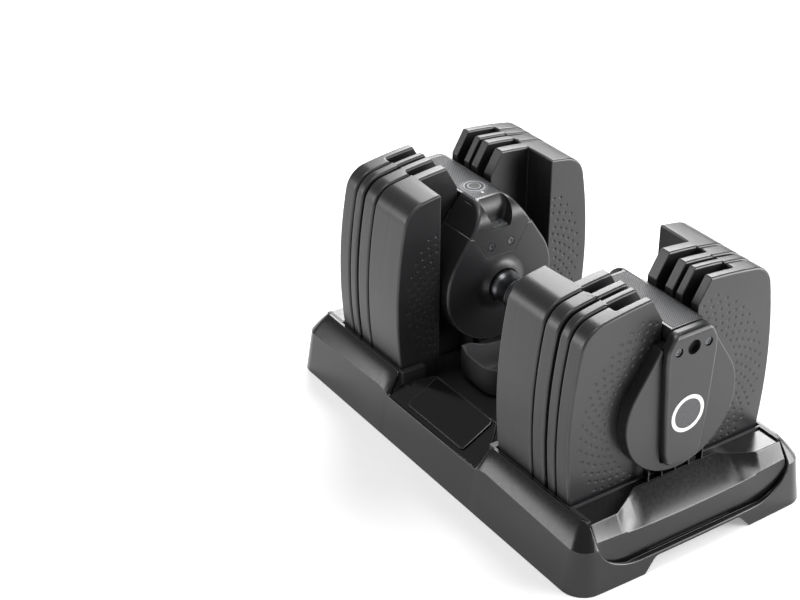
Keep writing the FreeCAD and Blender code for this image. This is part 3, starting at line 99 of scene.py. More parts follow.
def moulded(name, dark, pale, gloss, grain, depth, wear_and_highlight="#454547", flow=(1, 1, 1), **more):
    """A moulded, painted or machined finish. Two close shades lie in soft clouds, drawn out across
    the flow. The surface's grain, in millimetres, roughens the gloss and stands up by its depth.
    In patches the rounded edges are glossier and paler: partly wear from handling, partly a
    painted highlight along the edges."""
    finish, tree = blank(name)
    place = add(tree, "ShaderNodeTexCoord").outputs["Object"]
    drawn = add(tree, "ShaderNodeVectorMath", {0: place, 1: flow}, operation="MULTIPLY")
    clouds = add(
        tree, "ShaderNodeTexNoise", {"Vector": drawn, "Scale": 1000 / CLOUD, "Detail": 4.0}
    )
    # Sockets 0, 6 and 7 of a colour mix are its share and its two colours.
    shade = add(
        tree, "ShaderNodeMix", {0: clouds, 6: linear(dark), 7: linear(pale)}, data_type="RGBA"
    )
    patches = add(
        tree, "ShaderNodeTexNoise", {"Vector": place, "Scale": 1000 / PATCH, "Detail": 1.0}
    )
    # Rounded faces take the paler edge colour in patches: part wear, part painted highlight.
    edges = add(tree, "ShaderNodeAttribute", attribute_name="worn").outputs["Fac"]
    wear_and_highlight_mask = add(tree, "ShaderNodeMath", {0: edges, 1: patches}, operation="MULTIPLY")
    colour = add(
        tree, "ShaderNodeMix", {0: wear_and_highlight_mask, 6: shade.outputs[2], 7: linear(wear_and_highlight)}, data_type="RGBA"
    )
    pits = add(tree, "ShaderNodeTexNoise", {"Vector": place, "Scale": 1000 / grain, "Detail": 2.0})
    dull = add(
        tree,
        "ShaderNodeMapRange",
        {
            "Value": pits, "From Min": NOISE_LOW, "From Max": NOISE_HIGH,
            "To Min": gloss - GLOSS_SPREAD, "To Max": gloss + GLOSS_SPREAD,
        },
    )
    sheen = add(
        tree, "ShaderNodeMapRange", {"Value": wear_and_highlight_mask, "To Min": dull, "To Max": gloss * POLISHED}
    )
    relief = add(
        tree, "ShaderNodeBump", {"Height": pits, "Distance": depth / 1000, "Strength": 0.6}
    )
    skin = add(
        tree,
        "ShaderNodeBsdfPrincipled",
        {
            "Base Color": colour.outputs[2],
            "Roughness": sheen,
            "Normal": relief,
            **({} if "Metallic" in more else {"IOR": 1.53}),
            **more,
        },
    )
    add(tree, "ShaderNodeOutputMaterial", {"Surface": skin})
    return finish


def put(name, data):
    """A new object in the scene."""
    piece = bpy.data.objects.new(name, data)
    scene.collection.objects.link(piece)
    return piece


def solid(name, points, faces):
    """A closed mesh from points in millimetres, with its faces turned outwards."""
    mesh = bpy.data.meshes.new(name)
    mesh.from_pydata([[c / 1000 for c in point] for point in points], [], faces)
    shape = bmesh.new()
    shape.from_mesh(mesh)
    bmesh.ops.recalc_face_normals(shape, faces=shape.faces)
    shape.to_mesh(mesh)
    shape.free()
    return put(name, mesh)


def prism(name, outline, axis, low, high):
    """A straight-sided solid between two distances along an axis."""
    count = len(outline)
    points = []
    for along in (low, high):
        for u, v in outline:
            points.append({"x": (along, u, v), "y": (u, along, v), "z": (u, v, along)}[axis])
    sides = [(i, (i + 1) % count, count + (i + 1) % count, count + i) for i in range(count)]
    return solid(name, points, [list(range(count)), list(range(count, 2 * count)), *sides])


def rings(name, loops, closed=False):
    """A solid whose skin runs through loops of points. It closes on itself, or ends in two caps."""
    count = len(loops[0])
    points = [point for loop in loops for point in loop]
    faces = []
    for row in range(len(loops) if closed else len(loops) - 1):
        here, there = row * count, (row + 1) % len(loops) * count
        for i in range(count):
            j = (i + 1) % count
            faces.append((here + i, here + j, there + j, there + i))
    if not closed:
        faces += [list(range(count)), list(range(len(points) - count, len(points)))]
    return solid(name, points, faces)


def rounded(corners, steps=8):
    """An outline from corners (u, v, radius), each rounded by an arc."""
    outline = []
    for i, (u, v, radius) in enumerate(corners):
        if not radius:
            outline.append((u, v))
            continue
        here = Vector((u, v))
        before = (Vector(corners[i - 1][:2]) - here).normalized()
        after = (Vector(corners[(i + 1) % len(corners)][:2]) - here).normalized()
        half = before.angle(after) / 2
        centre = here + (before + after).normalized() * (radius / math.sin(half))
        first = here + before * (radius / math.tan(half)) - centre
        last = here + after * (radius / math.tan(half)) - centre
        start = math.atan2(first.y, first.x)
        turn = (math.atan2(last.y, last.x) - start + math.pi) % math.tau - math.pi
        for step in range(steps + 1):
            angle = start + turn * step / steps
            outline.append(
                (centre.x + radius * math.cos(angle), centre.y + radius * math.sin(angle))
            )
    return outline


def bake(piece):
    """Turns a piece's modifiers into its own plain mesh."""
    view = bpy.context.evaluated_depsgraph_get()
    mesh = bpy.data.meshes.new_from_object(piece.evaluated_get(view))
    piece.modifiers.clear()
    piece.data = mesh
    return piece


def carve(piece, tool, how="DIFFERENCE"):
    """Cuts a piece by a tool, and removes the tool."""
    step = piece.modifiers.new("carve", "BOOLEAN")
    step.operation = how
    step.object = tool
    step.solver = "EXACT"
    bake(piece)
    bpy.data.objects.remove(tool)


def round_edges(piece, radius_at, steps=3, sharp=28):
    """Rounds a piece's sharp edges. The radius is one number or a function of the edge's middle
    (x, y, z). The rounded faces are marked, so that the finish makes them paler, as wear and as a
    painted highlight."""
    shape = bmesh.new()
    shape.from_mesh(piece.data)
    weight = shape.edges.layers.float.new("bevel_weight_edge")
    edges = [
        edge
        for edge in shape.edges
        if len(edge.link_faces) == 2 and edge.calc_face_angle() > math.radians(sharp)
    ]
    radii = []
    for edge in edges:
        middle = (edge.verts[0].co + edge.verts[1].co) / 2 * 1000
        radii.append(radius_at(*middle) if callable(radius_at) else radius_at)
    for edge, radius in zip(edges, radii):
        edge[weight] = radius / max(radii)
    shape.to_mesh(piece.data)
    shape.free()
    piece.data.materials.clear()
    for _ in ("flat faces", "rounded faces"):
        piece.data.materials.append(None)
    step = piece.modifiers.new("rounded", "BEVEL")
    step.limit_method = "WEIGHT"
    step.width = max(radii) / 1000
    step.segments = steps
    step.use_clamp_overlap = False
    step.miter_outer = "MITER_ARC"
    step.material = 1
    bake(piece)
    marks = [float(face.material_index) for face in piece.data.polygons]
    # The mark makes these faces paler in the finish: wear, and a painted highlight on the edges.
    worn = piece.data.attributes.new("worn", "FLOAT", "FACE")
    worn.data.foreach_set("value", marks)
    piece.data.polygons.foreach_set("material_index", [0] * len(marks))


SOFT_ANGLE = 38  # edges that turn by less than this look smooth


def ready(piece, finish, body, slot, *nodes):
    """Gives a piece its finish, smooth shading and place on a body, and the CAD it stands for."""
    piece.data.materials.clear()
    piece.data.materials.append(finish)
    piece.data.shade_smooth()
    piece.data.set_sharp_from_angle(angle=math.radians(SOFT_ANGLE))
    even = piece.modifiers.new("even", "WEIGHTED_NORMAL")
    even.keep_sharp = True
    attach(piece, body)
    if nodes:
        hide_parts(*nodes)


# ABS from a polished mould: almost black, with sharp reflections that only a faint orange peel
# breaks.
gloss_abs = moulded("polished_black_abs", "#0e0e0f", "#131314", 0.22, 2.5, 0.005)

HALF_LENGTH, HALF_WIDTH = 220.7, 130.6
WALL = 3.0
END_BOW, BOW_HALF = 1.5, 109  # how far an end bows out, and half the width of the bow
FOOT_CORNER, BEND_CORNER, CORNER_LOSS = 22.3, 16.5, 8.5  # radii in plan, and loss up the chamfer
BEND_INSET = 5.8  # how far the wall leans in up to the bend
BEND_LOW, BEND_HIGH = 41.2, 46.3  # the bend's height at the ends, and beside a dip
BEND_LEVEL = 200  # past this x the bend is level
DIP_INNER, DIP_OUTER = 68.3, 78.4  # where the bend falls into the dip
RIM, RIM_INSET = 61.2, 20.7
SILL = 41.7
RISE = RIM - SILL
BULGE = 1.1  # how far the chamfer stands out of the flat between bend and rim
FOLD = rounded([(58, 0, 0), (68.2, 0, 3), (71.6, RISE, 4.5), (84, RISE, 0)], 5)
stations = []  # points round the base: place in half sizes, corner angle, distance, share of RISE
for sx, sy, start in ((1, 1, 0), (-1, 1, 90), (-1, -1, 180), (1, -1, 270)):
    for step in range(13):
        stations.append((sx, sy, math.radians(start + step * 7.5), None, 1.0))
    if sx * sy > 0:
        down = [(x, height / RISE) for x, height in reversed(FOLD)] + [(30, 0.0), (0, 0.0)]
        for x, share in down + [(-x, share) for x, share in down[-2::-1]]:
            stations.append((0, sy, None, x * sx, share))
    else:
        for y in (95, 75, 50, 25, 0, -25, -50, -75, -95):
            stations.append((sx, 0, None, y * sy, 1.0))


def bend_height(x):
    """Height of the bend between wall and chamfer: it rises to each dip, and falls into it."""
    far = abs(x)
    if far > BEND_LEVEL:
        return BEND_LOW
    if far > DIP_OUTER:
        share = (far - DIP_OUTER) / (BEND_LEVEL - DIP_OUTER)
        return BEND_HIGH - share * (BEND_HIGH - BEND_LOW)
    if far > DIP_INNER:
        return BEND_HIGH - (DIP_OUTER - far) / (DIP_OUTER - DIP_INNER) * (BEND_HIGH - SILL)
    return SILL


def base_loop(inset, corner, height, below=0.0):
    """The base's outline, drawn in by an inset, at a height or at or below the bend."""
    loop = []
    for sx, sy, angle, along, _ in stations:
        if angle is not None:
            x = (HALF_LENGTH - inset - corner) * sx + corner * math.cos(angle)
            y = (HALF_WIDTH - inset - corner) * sy + corner * math.sin(angle)
        elif sx:
            x = (HALF_LENGTH - inset + END_BOW * (1 - (along / BOW_HALF) ** 2)) * sx
            y = along
        else:
            x = along
            y = (HALF_WIDTH - inset) * sy
        loop.append((x, y, bend_height(x) - below if height is None else height))
    return loop


def chamfer_loop(up):
    """The outline at a share of the way up the chamfer, which bulges a little."""
    inset = BEND_INSET + (RIM_INSET - BEND_INSET) * up
    bend = base_loop(inset, BEND_CORNER - CORNER_LOSS * up, None)
    return [(x, y, z + (RIM - z) * up + BULGE * 4 * up * (1 - up)) for x, y, z in bend]


def folded(loop, inset, height):
    """A loop that folds down to the sill in both dips, where it has its own inset and height."""
    out = []
    for (x, y, z), (*_, share) in zip(loop, stations):
        side = math.copysign(HALF_WIDTH - inset, y)
        out.append((x, side + (y - side) * share, height + (z - height) * share))
    return out


# The skin runs up the outside, over the rim and down the inside.
skin = [base_loop(0, FOOT_CORNER, 0.0), base_loop(BEND_INSET, BEND_CORNER, None)]
for up in (0.3, 0.6, 0.82, 1.0):
    skin.append(folded(chamfer_loop(up), BEND_INSET + 2.0 * up, SILL + 0.1))
skin += [
    folded(base_loop(RIM_INSET + 2.4, 6.0, RIM), BEND_INSET + 3.0, SILL + 0.1),
    folded(base_loop(RIM_INSET + 2.4, 6.0, RIM - 2.5), BEND_INSET + 3.1, SILL - 2.0),
    base_loop(BEND_INSET + WALL, 14.0, None, 5.0),
    base_loop(WALL, FOOT_CORNER - WALL, 0.0),
]
wall = rings("base_wall", skin, closed=True)
MOUTH_HALF, MOUTH_FLAT, MOUTH_LOW, MOUTH_TALL = 106.5, 63.0, 16.2, 30.0
MOUTH_WIDE = MOUTH_HALF - MOUTH_FLAT  # the part of the mouth's half width that the arc takes


def mouth_low(y):
    """Height of the mouth's lower edge: level in the middle, and an elliptic arc at each side."""
    share = min(1.0, max(0.0, (abs(y) - MOUTH_FLAT) / MOUTH_WIDE))
    return MOUTH_LOW + MOUTH_TALL * (1 - math.sqrt(1 - share * share))


right_arc = []
for step in range(15):
    turn = math.radians(90 * step / 14)
    y = MOUTH_FLAT + MOUTH_WIDE * math.sin(turn)
    right_arc.append((y, MOUTH_LOW + MOUTH_TALL * (1 - math.cos(turn))))
MOUTH = [(-y, z) for y, z in reversed(right_arc)] + right_arc
MOUTH += [(MOUTH_HALF, 90), (-MOUTH_HALF, 90)]
NOTCH_CORNERS = [(-64, -9, 0), (-59, 0, 9), (-47, 13, 9), (47, 13, 9), (59, 0, 9), (64, -9, 0)]
CUT_FROM, CUT_TO = 180, 240  # x of the inner and outer ends of a tool that opens a mouth
for end, side in ENDS:
    for opening in (MOUTH, rounded(NOTCH_CORNERS, 6)):
        carve(wall, prism("opening", opening, "x", CUT_FROM * side, CUT_TO * side))


def wall_edge(x, y, z):
    """The sills and the edges of the mouths are rounded more than the rest."""
    at_sill = abs(x) < 60 and z > 40
    at_mouth = abs(x) > 205 and z > 14 and abs(y) < 108
    return 1.0 if at_sill or at_mouth else 0.5


round_edges(wall, wall_edge, sharp=24)
ready(wall, gloss_abs, "base", "base_gloss", "base_skirt")

# ------------------------------------------------------------------ side panels
# A sloping frame closes the dip in each long side, and a glossy panel lies on it. Both are ABS,
# clipped between the outer wall and the tray.

# ABS with a piano finish: deep black, and the clearest reflections on the base.
piano_abs = moulded("piano_black_abs", "#0c0c0d", "#101011", 0.1, 2.5, 0.006)
PANEL_FOOT, PANEL_HEAD = Vector((124.6, 41.0)), Vector((85.0, 62.0))  # (y, z) of the slope's ends
slope = (PANEL_HEAD - PANEL_FOOT).normalized()
lift = Vector((slope.y, -slope.x))  # square to the slope, upwards
FRAME_CORNERS = [
    (-66.3, 0.6, 1), (66.3, 0.6, 1), (68.5, 18, 5), (46, 45, 4), (-46, 45, 4), (-68.5, 18, 5),
]
PANEL_CORNERS = [(-43.5, 5.5, 4), (43.5, 5.5, 4), (43.5, 44.3, 5), (-43.5, 44.3, 5)]


def sloping(name, corners, bottom, top):
    """A slab on the slope. Its corners are (x, way up the slope, radius), and it lies between two
    heights above the slope."""
    loops = []
    for height in (bottom, top):
        loop = []
        for x, way in rounded(corners, 6):
            spot = PANEL_FOOT + slope * way + lift * height
            loop.append((x, spot.x, spot.y))
        loops.append(loop)
    return rings(name, loops)


def mirrored(piece, name, axis):
    """A copy of a piece on the other side, with its faces turned outwards again."""
    mesh = piece.data.copy()
    shape = bmesh.new()
    shape.from_mesh(mesh)
    for vert in shape.verts:
        vert.co[axis] *= -1
    bmesh.ops.reverse_faces(shape, faces=shape.faces)
    shape.to_mesh(mesh)
    shape.free()
    return put(name, mesh)


def joined(name, *pieces):
    """Several closed pieces as one object."""
    shape = bmesh.new()
    for piece in pieces:
        shape.from_mesh(piece.data)
    mesh = bpy.data.meshes.new(name)
    shape.to_mesh(mesh)
    shape.free()
    for piece in pieces:
        bpy.data.objects.remove(piece)
    return put(name, mesh)


for name, corners, bottom, top, radius, steps, finish in (
    ("panel_frames", FRAME_CORNERS, -2.5, 0.0, 0.8, 3, gloss_abs),
    ("glossy_panels", PANEL_CORNERS, -0.5, 1.9, 1.5, 2, piano_abs),
):
    slab = sloping("slab", corners, bottom, top)
    round_edges(slab, radius, steps=steps)
    pair = joined(name, mirrored(slab, "other", 1), slab)
    ready(pair, finish, "base", "base_gloss", "side_panels")

# ------------------------------------------------------------------ tray
# The tray carries the plates in one well at each end and the cradles between them. It is
# polypropylene, moulded in one piece and duller than the outer wall.

# Polypropylene from an eroded mould: a soft, even, slightly greasy sheen. Its real grain of about
# 0.2 mm is too fine to show, so it is drawn at 1.2 mm.
black_pp = moulded("black_polypropylene", "#242426", "#2d2d2f", 0.4, 1.2, 0.03)
MERGE, FLAT = 2e-6, 0.1  # how close two points and how flat two faces are to become one


def moulding(name, node):
    """A copy of a CAD node's mesh, with its loose triangles merged into whole faces."""
    mesh = NODES[node].data.copy()
    shape = bmesh.new()
    shape.from_mesh(mesh)
    bmesh.ops.remove_doubles(shape, verts=shape.verts, dist=MERGE)
    bmesh.ops.dissolve_limit(
        shape, angle_limit=math.radians(FLAT), verts=shape.verts, edges=shape.edges
    )
    shape.to_mesh(mesh)
    shape.free()
    for layer in list(mesh.attributes):
        if layer.name.startswith("custom_normal"):
            mesh.attributes.remove(layer)
    return put(name, mesh)


tray = moulding("tray", "base_tray")
round_edges(tray, 0.5, steps=2)
ready(tray, black_pp, "base", "base_black", "base_tray")

# ------------------------------------------------------------------ feet and base screws
# Four round rubber feet are glued under the tray. Steel screws hold tray, wall and cradles.


def painted(finish, *nodes):
    """Gives CAD nodes that stay as they are their finish."""
    for node in nodes:
        NODES[node].data.materials.clear()
        NODES[node].data.materials.append(finish)


# Soft rubber: the dullest black on the base, with a fine tooth and no reflections.
rubber = moulded("soft_rubber", "#1c1c1d", "#262627", 0.72, 0.8, 0.06)
# Steel blackened in hot oxide: grey under the black, so the heads glint.
black_steel = moulded("blackened_steel", "#5b5c5f", "#6e6f72", 0.3, 1.5, 0.006, Metallic=0.9)
painted(rubber, "rubber_feet")
painted(black_steel, "base_screws")

# ------------------------------------------------------------------ end ramps
# A glossy ABS ramp fills each mouth. Two raised lobes flank a scoop that leads the handle's end
# down into the base, and a row of thin fins behind it guides the plates.
AXIS_Z = 124.1  # height of the handle's axis
RAMP_BACK, RAMP_HALF = 177.0, 105.6
FOOT_X, LIP_FOOT_X, LIP_X = 216.2, 213.0, 210.5
FOOT_LOWEST, MOUTH_GAP = 13.6, 3.5  # the foot, and how far it stays below the mouth's edge
LIP_Z, LIP_RISE = 39.5, 4.9  # the lip's height in the middle, and its rise at 100 from there
SCOOP_EDGE, LOBE_EDGE = 43, 58  # between these the scoop turns into a lobe
SCOOP_TOP_X, SCOOP_TOP_Z = 184, 60.5  # upper edge of the surface in the scoop
LOBE_OUT, LOBE_SPREAD, LOBE_DROP = 6, 11.7, 1.5  # how the lobes' upper edge differs from that
SPREAD_FROM, SPREAD_TO = 56, 77  # between these that edge moves out to its full spread
SLICES, ROWS = 112, 14


def smooth(low, high, value):
    """0 up to low, 1 from high on, and an S-curve between them."""
    share = min(1.0, max(0.0, (value - low) / (high - low)))
    return share * share * (3 - 2 * share)


def ramp_section(y):
    """The ramp's section at y, from its foot over the lip and up to its back."""
    far = abs(y)
    foot = max(FOOT_LOWEST, mouth_low(y) - MOUTH_GAP)
    lip_z = LIP_Z + LIP_RISE * (far / 100) ** 2
    lobe = smooth(SCOOP_EDGE, LOBE_EDGE, far)
    outwards = min(1.0, max(0.0, (far - SPREAD_FROM) / (SPREAD_TO - SPREAD_FROM)))
    top_x = SCOOP_TOP_X + lobe * (LOBE_OUT + LOBE_SPREAD * outwards)
    top_z = SCOOP_TOP_Z - LOBE_DROP * lobe
    crowning = 0.88 + 0.17 * lobe  # under 1 the surface swells, over 1 it is hollow
    section = [(FOOT_X, foot - 1), (FOOT_X, foot), (LIP_FOOT_X, foot + 0.4), (LIP_X, lip_z)]
    for row in range(1, ROWS + 1):
        up = row / ROWS
        section.append((LIP_X + (top_x - LIP_X) * up, lip_z + (top_z - lip_z) * up**crowning))
    section += [(RAMP_BACK, top_z), (RAMP_BACK, foot - 1)]
    return [(x, y, z) for x, z in section]


across = [RAMP_HALF * (i * 2 / SLICES - 1) for i in range(SLICES + 1)]
near_ramp = rings("ramp_near", [ramp_section(y) for y in across])
round_edges(near_ramp, 0.5, steps=2, sharp=33)
for end, ramp in (("near", near_ramp), ("far", mirrored(near_ramp, "ramp_far", 0))):
    ready(ramp, gloss_abs, "base", "base_gloss", f"end_ramp_{end}")


def new_tree(name, inputs, geometry_in=False):
    """A geometry tree with named inputs, and the sockets that give their values."""
    tree = bpy.data.node_groups.new(name, "GeometryNodeTree")
    if geometry_in:
        tree.interface.new_socket("Geometry", in_out="INPUT", socket_type="NodeSocketGeometry")
    kinds = {int: "NodeSocketInt", float: "NodeSocketFloat", type(None): "NodeSocketMaterial"}
    for label, value in inputs.items():
        socket = tree.interface.new_socket(
            label, in_out="INPUT", socket_type=kinds[type(value)]
        )
        if value is not None:
            socket.default_value = value
    tree.interface.new_socket("Geometry", in_out="OUTPUT", socket_type="NodeSocketGeometry")
    return tree, add(tree, "NodeGroupInput").outputs


def end_tree(tree, shape, finish):
    """Ends a tree in Realize Instances and Set Material."""
    whole = add(tree, "GeometryNodeRealizeInstances", {"Geometry": shape})
    coat = add(tree, "GeometryNodeSetMaterial", {"Geometry": whole, "Material": finish})
    add(tree, "NodeGroupOutput", {"Geometry": coat})


def grown(tree, base, **sizes):
    """Runs a geometry tree on a piece, or on a new one if only a name is given, and keeps the
    result as a plain mesh."""
    piece = put(base, bpy.data.meshes.new(base)) if isinstance(base, str) else base
    step = piece.modifiers.new("grown", "NODES")
    step.node_group = tree
    for item in tree.interface.items_tree:
        label = item.name.replace(" ", "_").lower()
        if item.in_out == "INPUT" and label in sizes:
            step[item.identifier] = sizes[label]
    bpy.context.view_layer.update()
    return bake(piece)


FIN_X = 0.1815
fins, size = new_tree(
    "guide_fins",
    {
        "Count": 5, "Spacing": 0.015, "Thickness": 0.0012, "Depth": 0.007, "Foot": 0.0605,
        "Axis": AXIS_Z / 1000, "Radius": 0.0606, "Place": FIN_X, "Finish": None,
    },
)
line = add(fins, "GeometryNodeMeshLine", {"Count": size["Count"]}, mode="OFFSET")
number = add(fins, "GeometryNodeInputIndex")
middle = ("MULTIPLY", ("SUBTRACT", size["Count"], 1.0), 0.5)
fin_y = ("MULTIPLY", ("SUBTRACT", number, middle), size["Spacing"])
square = ("SUBTRACT", ("POWER", size["Radius"], 2.0), ("MULTIPLY", fin_y, fin_y))
fin_tall = ("SUBTRACT", ("SUBTRACT", size["Axis"], ("SQRT", square)), size["Foot"])
fin_z = ("ADD", size["Foot"], ("MULTIPLY", fin_tall, 0.5))
spot = add(fins, "ShaderNodeCombineXYZ", {0: size["Place"], 1: fin_y, 2: fin_z})
stood = add(fins, "GeometryNodeSetPosition", {"Geometry": line, "Position": spot})
block = add(fins, "GeometryNodeMeshCube", {"Size": (1, 1, 1)})
grown_to = add(
    fins, "ShaderNodeCombineXYZ", {0: size["Depth"], 1: size["Thickness"], 2: fin_tall}
)
placed = add(
    fins, "GeometryNodeInstanceOnPoints", {"Points": stood, "Instance": block, "Scale": grown_to}
)
end_tree(fins, placed, size["Finish"])
for end, side in ENDS:
    comb = grown(fins, f"guide_fins_{end}", finish=gloss_abs, place=FIN_X * side)
    round_edges(comb, 0.25, steps=2)
    ready(comb, gloss_abs, "base", "base_gloss", f"end_ramp_{end}")

# ------------------------------------------------------------------ cradles
# A bowl-sided cradle on the tray's floor takes the inner end cover of each handle end. It is
# moulded polypropylene with a curved seat in its back wall, and two screws hold it from below.

# Polypropylene drawn paler than the tray's, a dull mid grey: the paleness is painted light that
# stands in for the light on the bowl's round side. Its grain is drawn as coarse as the tray's.
cradle_pp_painted_lit = moulded("grey_black_polypropylene", "#4a4a4c", "#565658", 0.42, 1.2, 0.03)
CRADLE_BACK, CRADLE_FRONT, CRADLE_HALF = 67, 10, 43
CRADLE_WIDEST, CRADLE_MIDDLE = 45.5, 40
CRADLE_SEAT, SEAT_LOWEST = 64.2, 60.2  # the seat's radius, and the lowest height of its edge
CRADLE_RIM, HORN = 65, 4.3  # height of the rim, and how far a horn stands above it
half_line = [
    (67, 43), (58, 44.6), (50, 45.5), (40, 45.7), (30, 45.5), (25.5, 44.2), (21, 41.6),
    (17.5, 38), (14.5, 33), (12.3, 27), (10.9, 20), (10.2, 12), (10, 4),
]
cradle_line = half_line + [(x, -y) for x, y in reversed(half_line)]
cradle_line += [(CRADLE_BACK, CRADLE_HALF * (i / 12 - 1)) for i in range(1, 24)]


def cradle_rim(x, y):
    """Height of the rim: level, with a horn at each end of the back wall and a seat between."""
    horn = CRADLE_RIM + HORN * smooth(60, 66.5, x)
    seat = AXIS_Z - math.sqrt(CRADLE_SEAT**2 - min(abs(y), 60) ** 2)
    return min(horn, max(seat, SEAT_LOWEST)) if x > 63 else horn


def cradle_loop(inset, height):
    """The cradle's outline, drawn in by an inset, at a height or at the rim."""
    loop = []
    for x, y in cradle_line:
        if x > CRADLE_BACK - 0.1:
            u = CRADLE_BACK - (inset if inset > 2.9 else 0)
        else:
            u = max(CRADLE_FRONT + inset, x - inset * 0.3 * (x - CRADLE_MIDDLE) / 30)
        z = cradle_rim(x, y) if height is None else height
        loop.append((u, y * (1 - inset / CRADLE_WIDEST), z))
    return loop


bowl = rings(
    "cradle_bowl_near",
    [
        cradle_loop(inset, height)
        for inset, height in (
            (8.0, 33.0), (4.6, 35.0), (2.4, 39.0), (0.9, 45.0), (0.1, 53.0), (0.0, 59.0),
            (0.3, None), (3.0, None), (3.2, 56.0), (4.2, 45.0), (7.0, 38.0), (10.0, 36.0),
        )
    ],
)
round_edges(bowl, 0.6, steps=2, sharp=40)
for end, piece in (("near", bowl), ("far", mirrored(bowl, "cradle_bowl_far", 0))):
    ready(piece, cradle_pp_painted_lit, "base", "base_black", f"cradle_{end}")

posts = moulding("posts", "release_posts")
round_edges(posts, 0.6)
ready(posts, black_pp, "base", "base_black", "release_posts")

# ------------------------------------------------------------------ weight plates
# Each plate is a slab of grey iron in a thick moulded skin of filled ABS with a finely eroded
# surface. The skin's edges are well rounded, and small blind dimples pattern the faces that show.

# Filled ABS: satin, with faint streaks across the plate where the melt ran round the iron. Its
# real grain of about 0.15 mm is too fine to show, so it is drawn at 1.1 mm.
plate_abs = moulded("satin_filled_abs", "#171718", "#303032", 0.34, 1.1, 0.04, flow=(26, 1, 1))
# Cast iron under grey paint: rough, and only half metallic to the eye.
grey_iron = moulded("painted_grey_iron", "#2e2f31", "#3c3d3f", 0.6, 0.8, 0.08, Metallic=0.4)
OUTER_FACE, INNER_FACE = 0.1734, 0.0749  # x of the dimpled faces of plates 4 and 1
SLIM = 0.0015  # how far a face that looks at another plate is drawn in
NEARBY = 1e-5  # a point as close as this to a plane lies in it

dimples, size = new_tree(
    "dimples",
    {
        "Rings": 6, "Steps": 20, "First Ring": 0.0715, "Ring Pitch": 0.0053,
        "Angle Pitch": 7.35, "First Angle": -66.15, "Axis": AXIS_Z / 1000, "Face": OUTER_FACE,
        "Outward": 1.0, "Radius": 0.0032, "Stand Off": 0.0023, "Lowest": 0.061,
        "Highest": 0.22, "Inner": 0.024, "Slot Height": 0.2102, "Slot Lean": 0.577,
        "Slot Half": 0.0255, "Finish": None,
    },
    geometry_in=True,
)
number = add(dimples, "GeometryNodeInputIndex")
pair_number = add(dimples, "ShaderNodeMath", {0: ("DIVIDE", number, 2.0)}, operation="FLOOR")
ring = add(dimples, "ShaderNodeMath", {0: pair_number, 1: size["Rings"]}, operation="MODULO")
step_number = ("FLOOR", ("DIVIDE", pair_number, size["Rings"]))
stagger = ("MULTIPLY", ("MODULO", ("ADD", ring, 1.0), 2.0), 0.5)
turned_by = ("MULTIPLY", size["Angle Pitch"], ("ADD", step_number, stagger))
angle = ("RADIANS", ("ADD", size["First Angle"], turned_by))
reach = ("ADD", size["First Ring"], ("MULTIPLY", size["Ring Pitch"], ring))
out_y = ("MULTIPLY", reach, ("COSINE", angle))
out_z = ("ADD", size["Axis"], ("MULTIPLY", reach, ("SINE", angle)))
on_face = add(dimples, "ShaderNodeCombineXYZ", {0: out_y, 1: out_z})
dot_y, dot_z = add(dimples, "ShaderNodeSeparateXYZ", {0: on_face}).outputs[:2]
dot_x = ("ADD", size["Face"], ("MULTIPLY", size["Outward"], size["Stand Off"]))
left_or_right = ("SUBTRACT", ("MULTIPLY", ("MODULO", number, 2.0), 2.0), 1.0)
spot = add(
    dimples, "ShaderNodeCombineXYZ", {0: dot_x, 1: ("MULTIPLY", dot_y, left_or_right), 2: dot_z}
)
total = ("MULTIPLY", ("MULTIPLY", size["Rings"], size["Steps"]), 2.0)
dots = add(dimples, "GeometryNodePoints", {"Count": total, "Position": spot})
above_slot = ("MULTIPLY", ("SUBTRACT", dot_z, size["Slot Height"]), size["Slot Lean"])
keep = ("GREATER_THAN", dot_z, size["Lowest"])
for limit in (
    ("LESS_THAN", dot_z, size["Highest"]),
    ("GREATER_THAN", dot_y, size["Inner"]),
    ("GREATER_THAN", dot_y, ("ADD", above_slot, size["Slot Half"])),
):
    keep = ("MULTIPLY", keep, limit)
ball = add(
    dimples, "GeometryNodeMeshUVSphere", {"Segments": 10, "Rings": 8, "Radius": size["Radius"]}
)
laid = add(
    dimples, "GeometryNodeInstanceOnPoints", {"Points": dots, "Selection": keep, "Instance": ball}
)
tools = add(dimples, "GeometryNodeRealizeInstances", {"Geometry": laid})
hollowed = add(
    dimples,
    "GeometryNodeMeshBoolean",
    {"Mesh 1": size["Geometry"], "Mesh 2": tools},
    operation="DIFFERENCE",
    solver="MANIFOLD",
)
end_tree(dimples, hollowed, size["Finish"])


def plate_edge(x, y, z):
    """A plate's outer rim is rounded more than its slot and pocket."""
    return 2.2 if abs(y) > 96 or z < 29 or (z > 200 and abs(y) > 33) else 0.9


def slimmed(plate, number):
    """Draws in the faces that look at another plate, so that a dark gap shows between the two."""
    along = [abs(vert.co.x) for vert in plate.data.vertices]
    inner, outer = min(along), max(along)
    for vert in plate.data.vertices:
        x = abs(vert.co.x)
        if x - inner < NEARBY and number > 1:
            x += SLIM
        if outer - x < NEARBY and number < 4:
            x -= SLIM
        vert.co.x = math.copysign(x, vert.co.x)


for end, side in ENDS:
    for number in (1, 2, 3, 4):
        node = f"plate_{number}_{end}"
        plate = moulding(node + "_skin", node)
        slimmed(plate, number)
        round_edges(plate, plate_edge, steps=4)
        if number == 4:
            grown(dimples, plate, face=OUTER_FACE * side, outward=float(side), finish=plate_abs)
        if number == 1:
            grown(
                dimples, plate, face=INNER_FACE * side, outward=float(-side), finish=plate_abs,
                inner=0.0655, highest=0.19, first_angle=-62.475,
            )
        ready(plate, plate_abs, node, "plate_skin", node)
        painted(grey_iron, f"plate_{number}_steel_{end}")

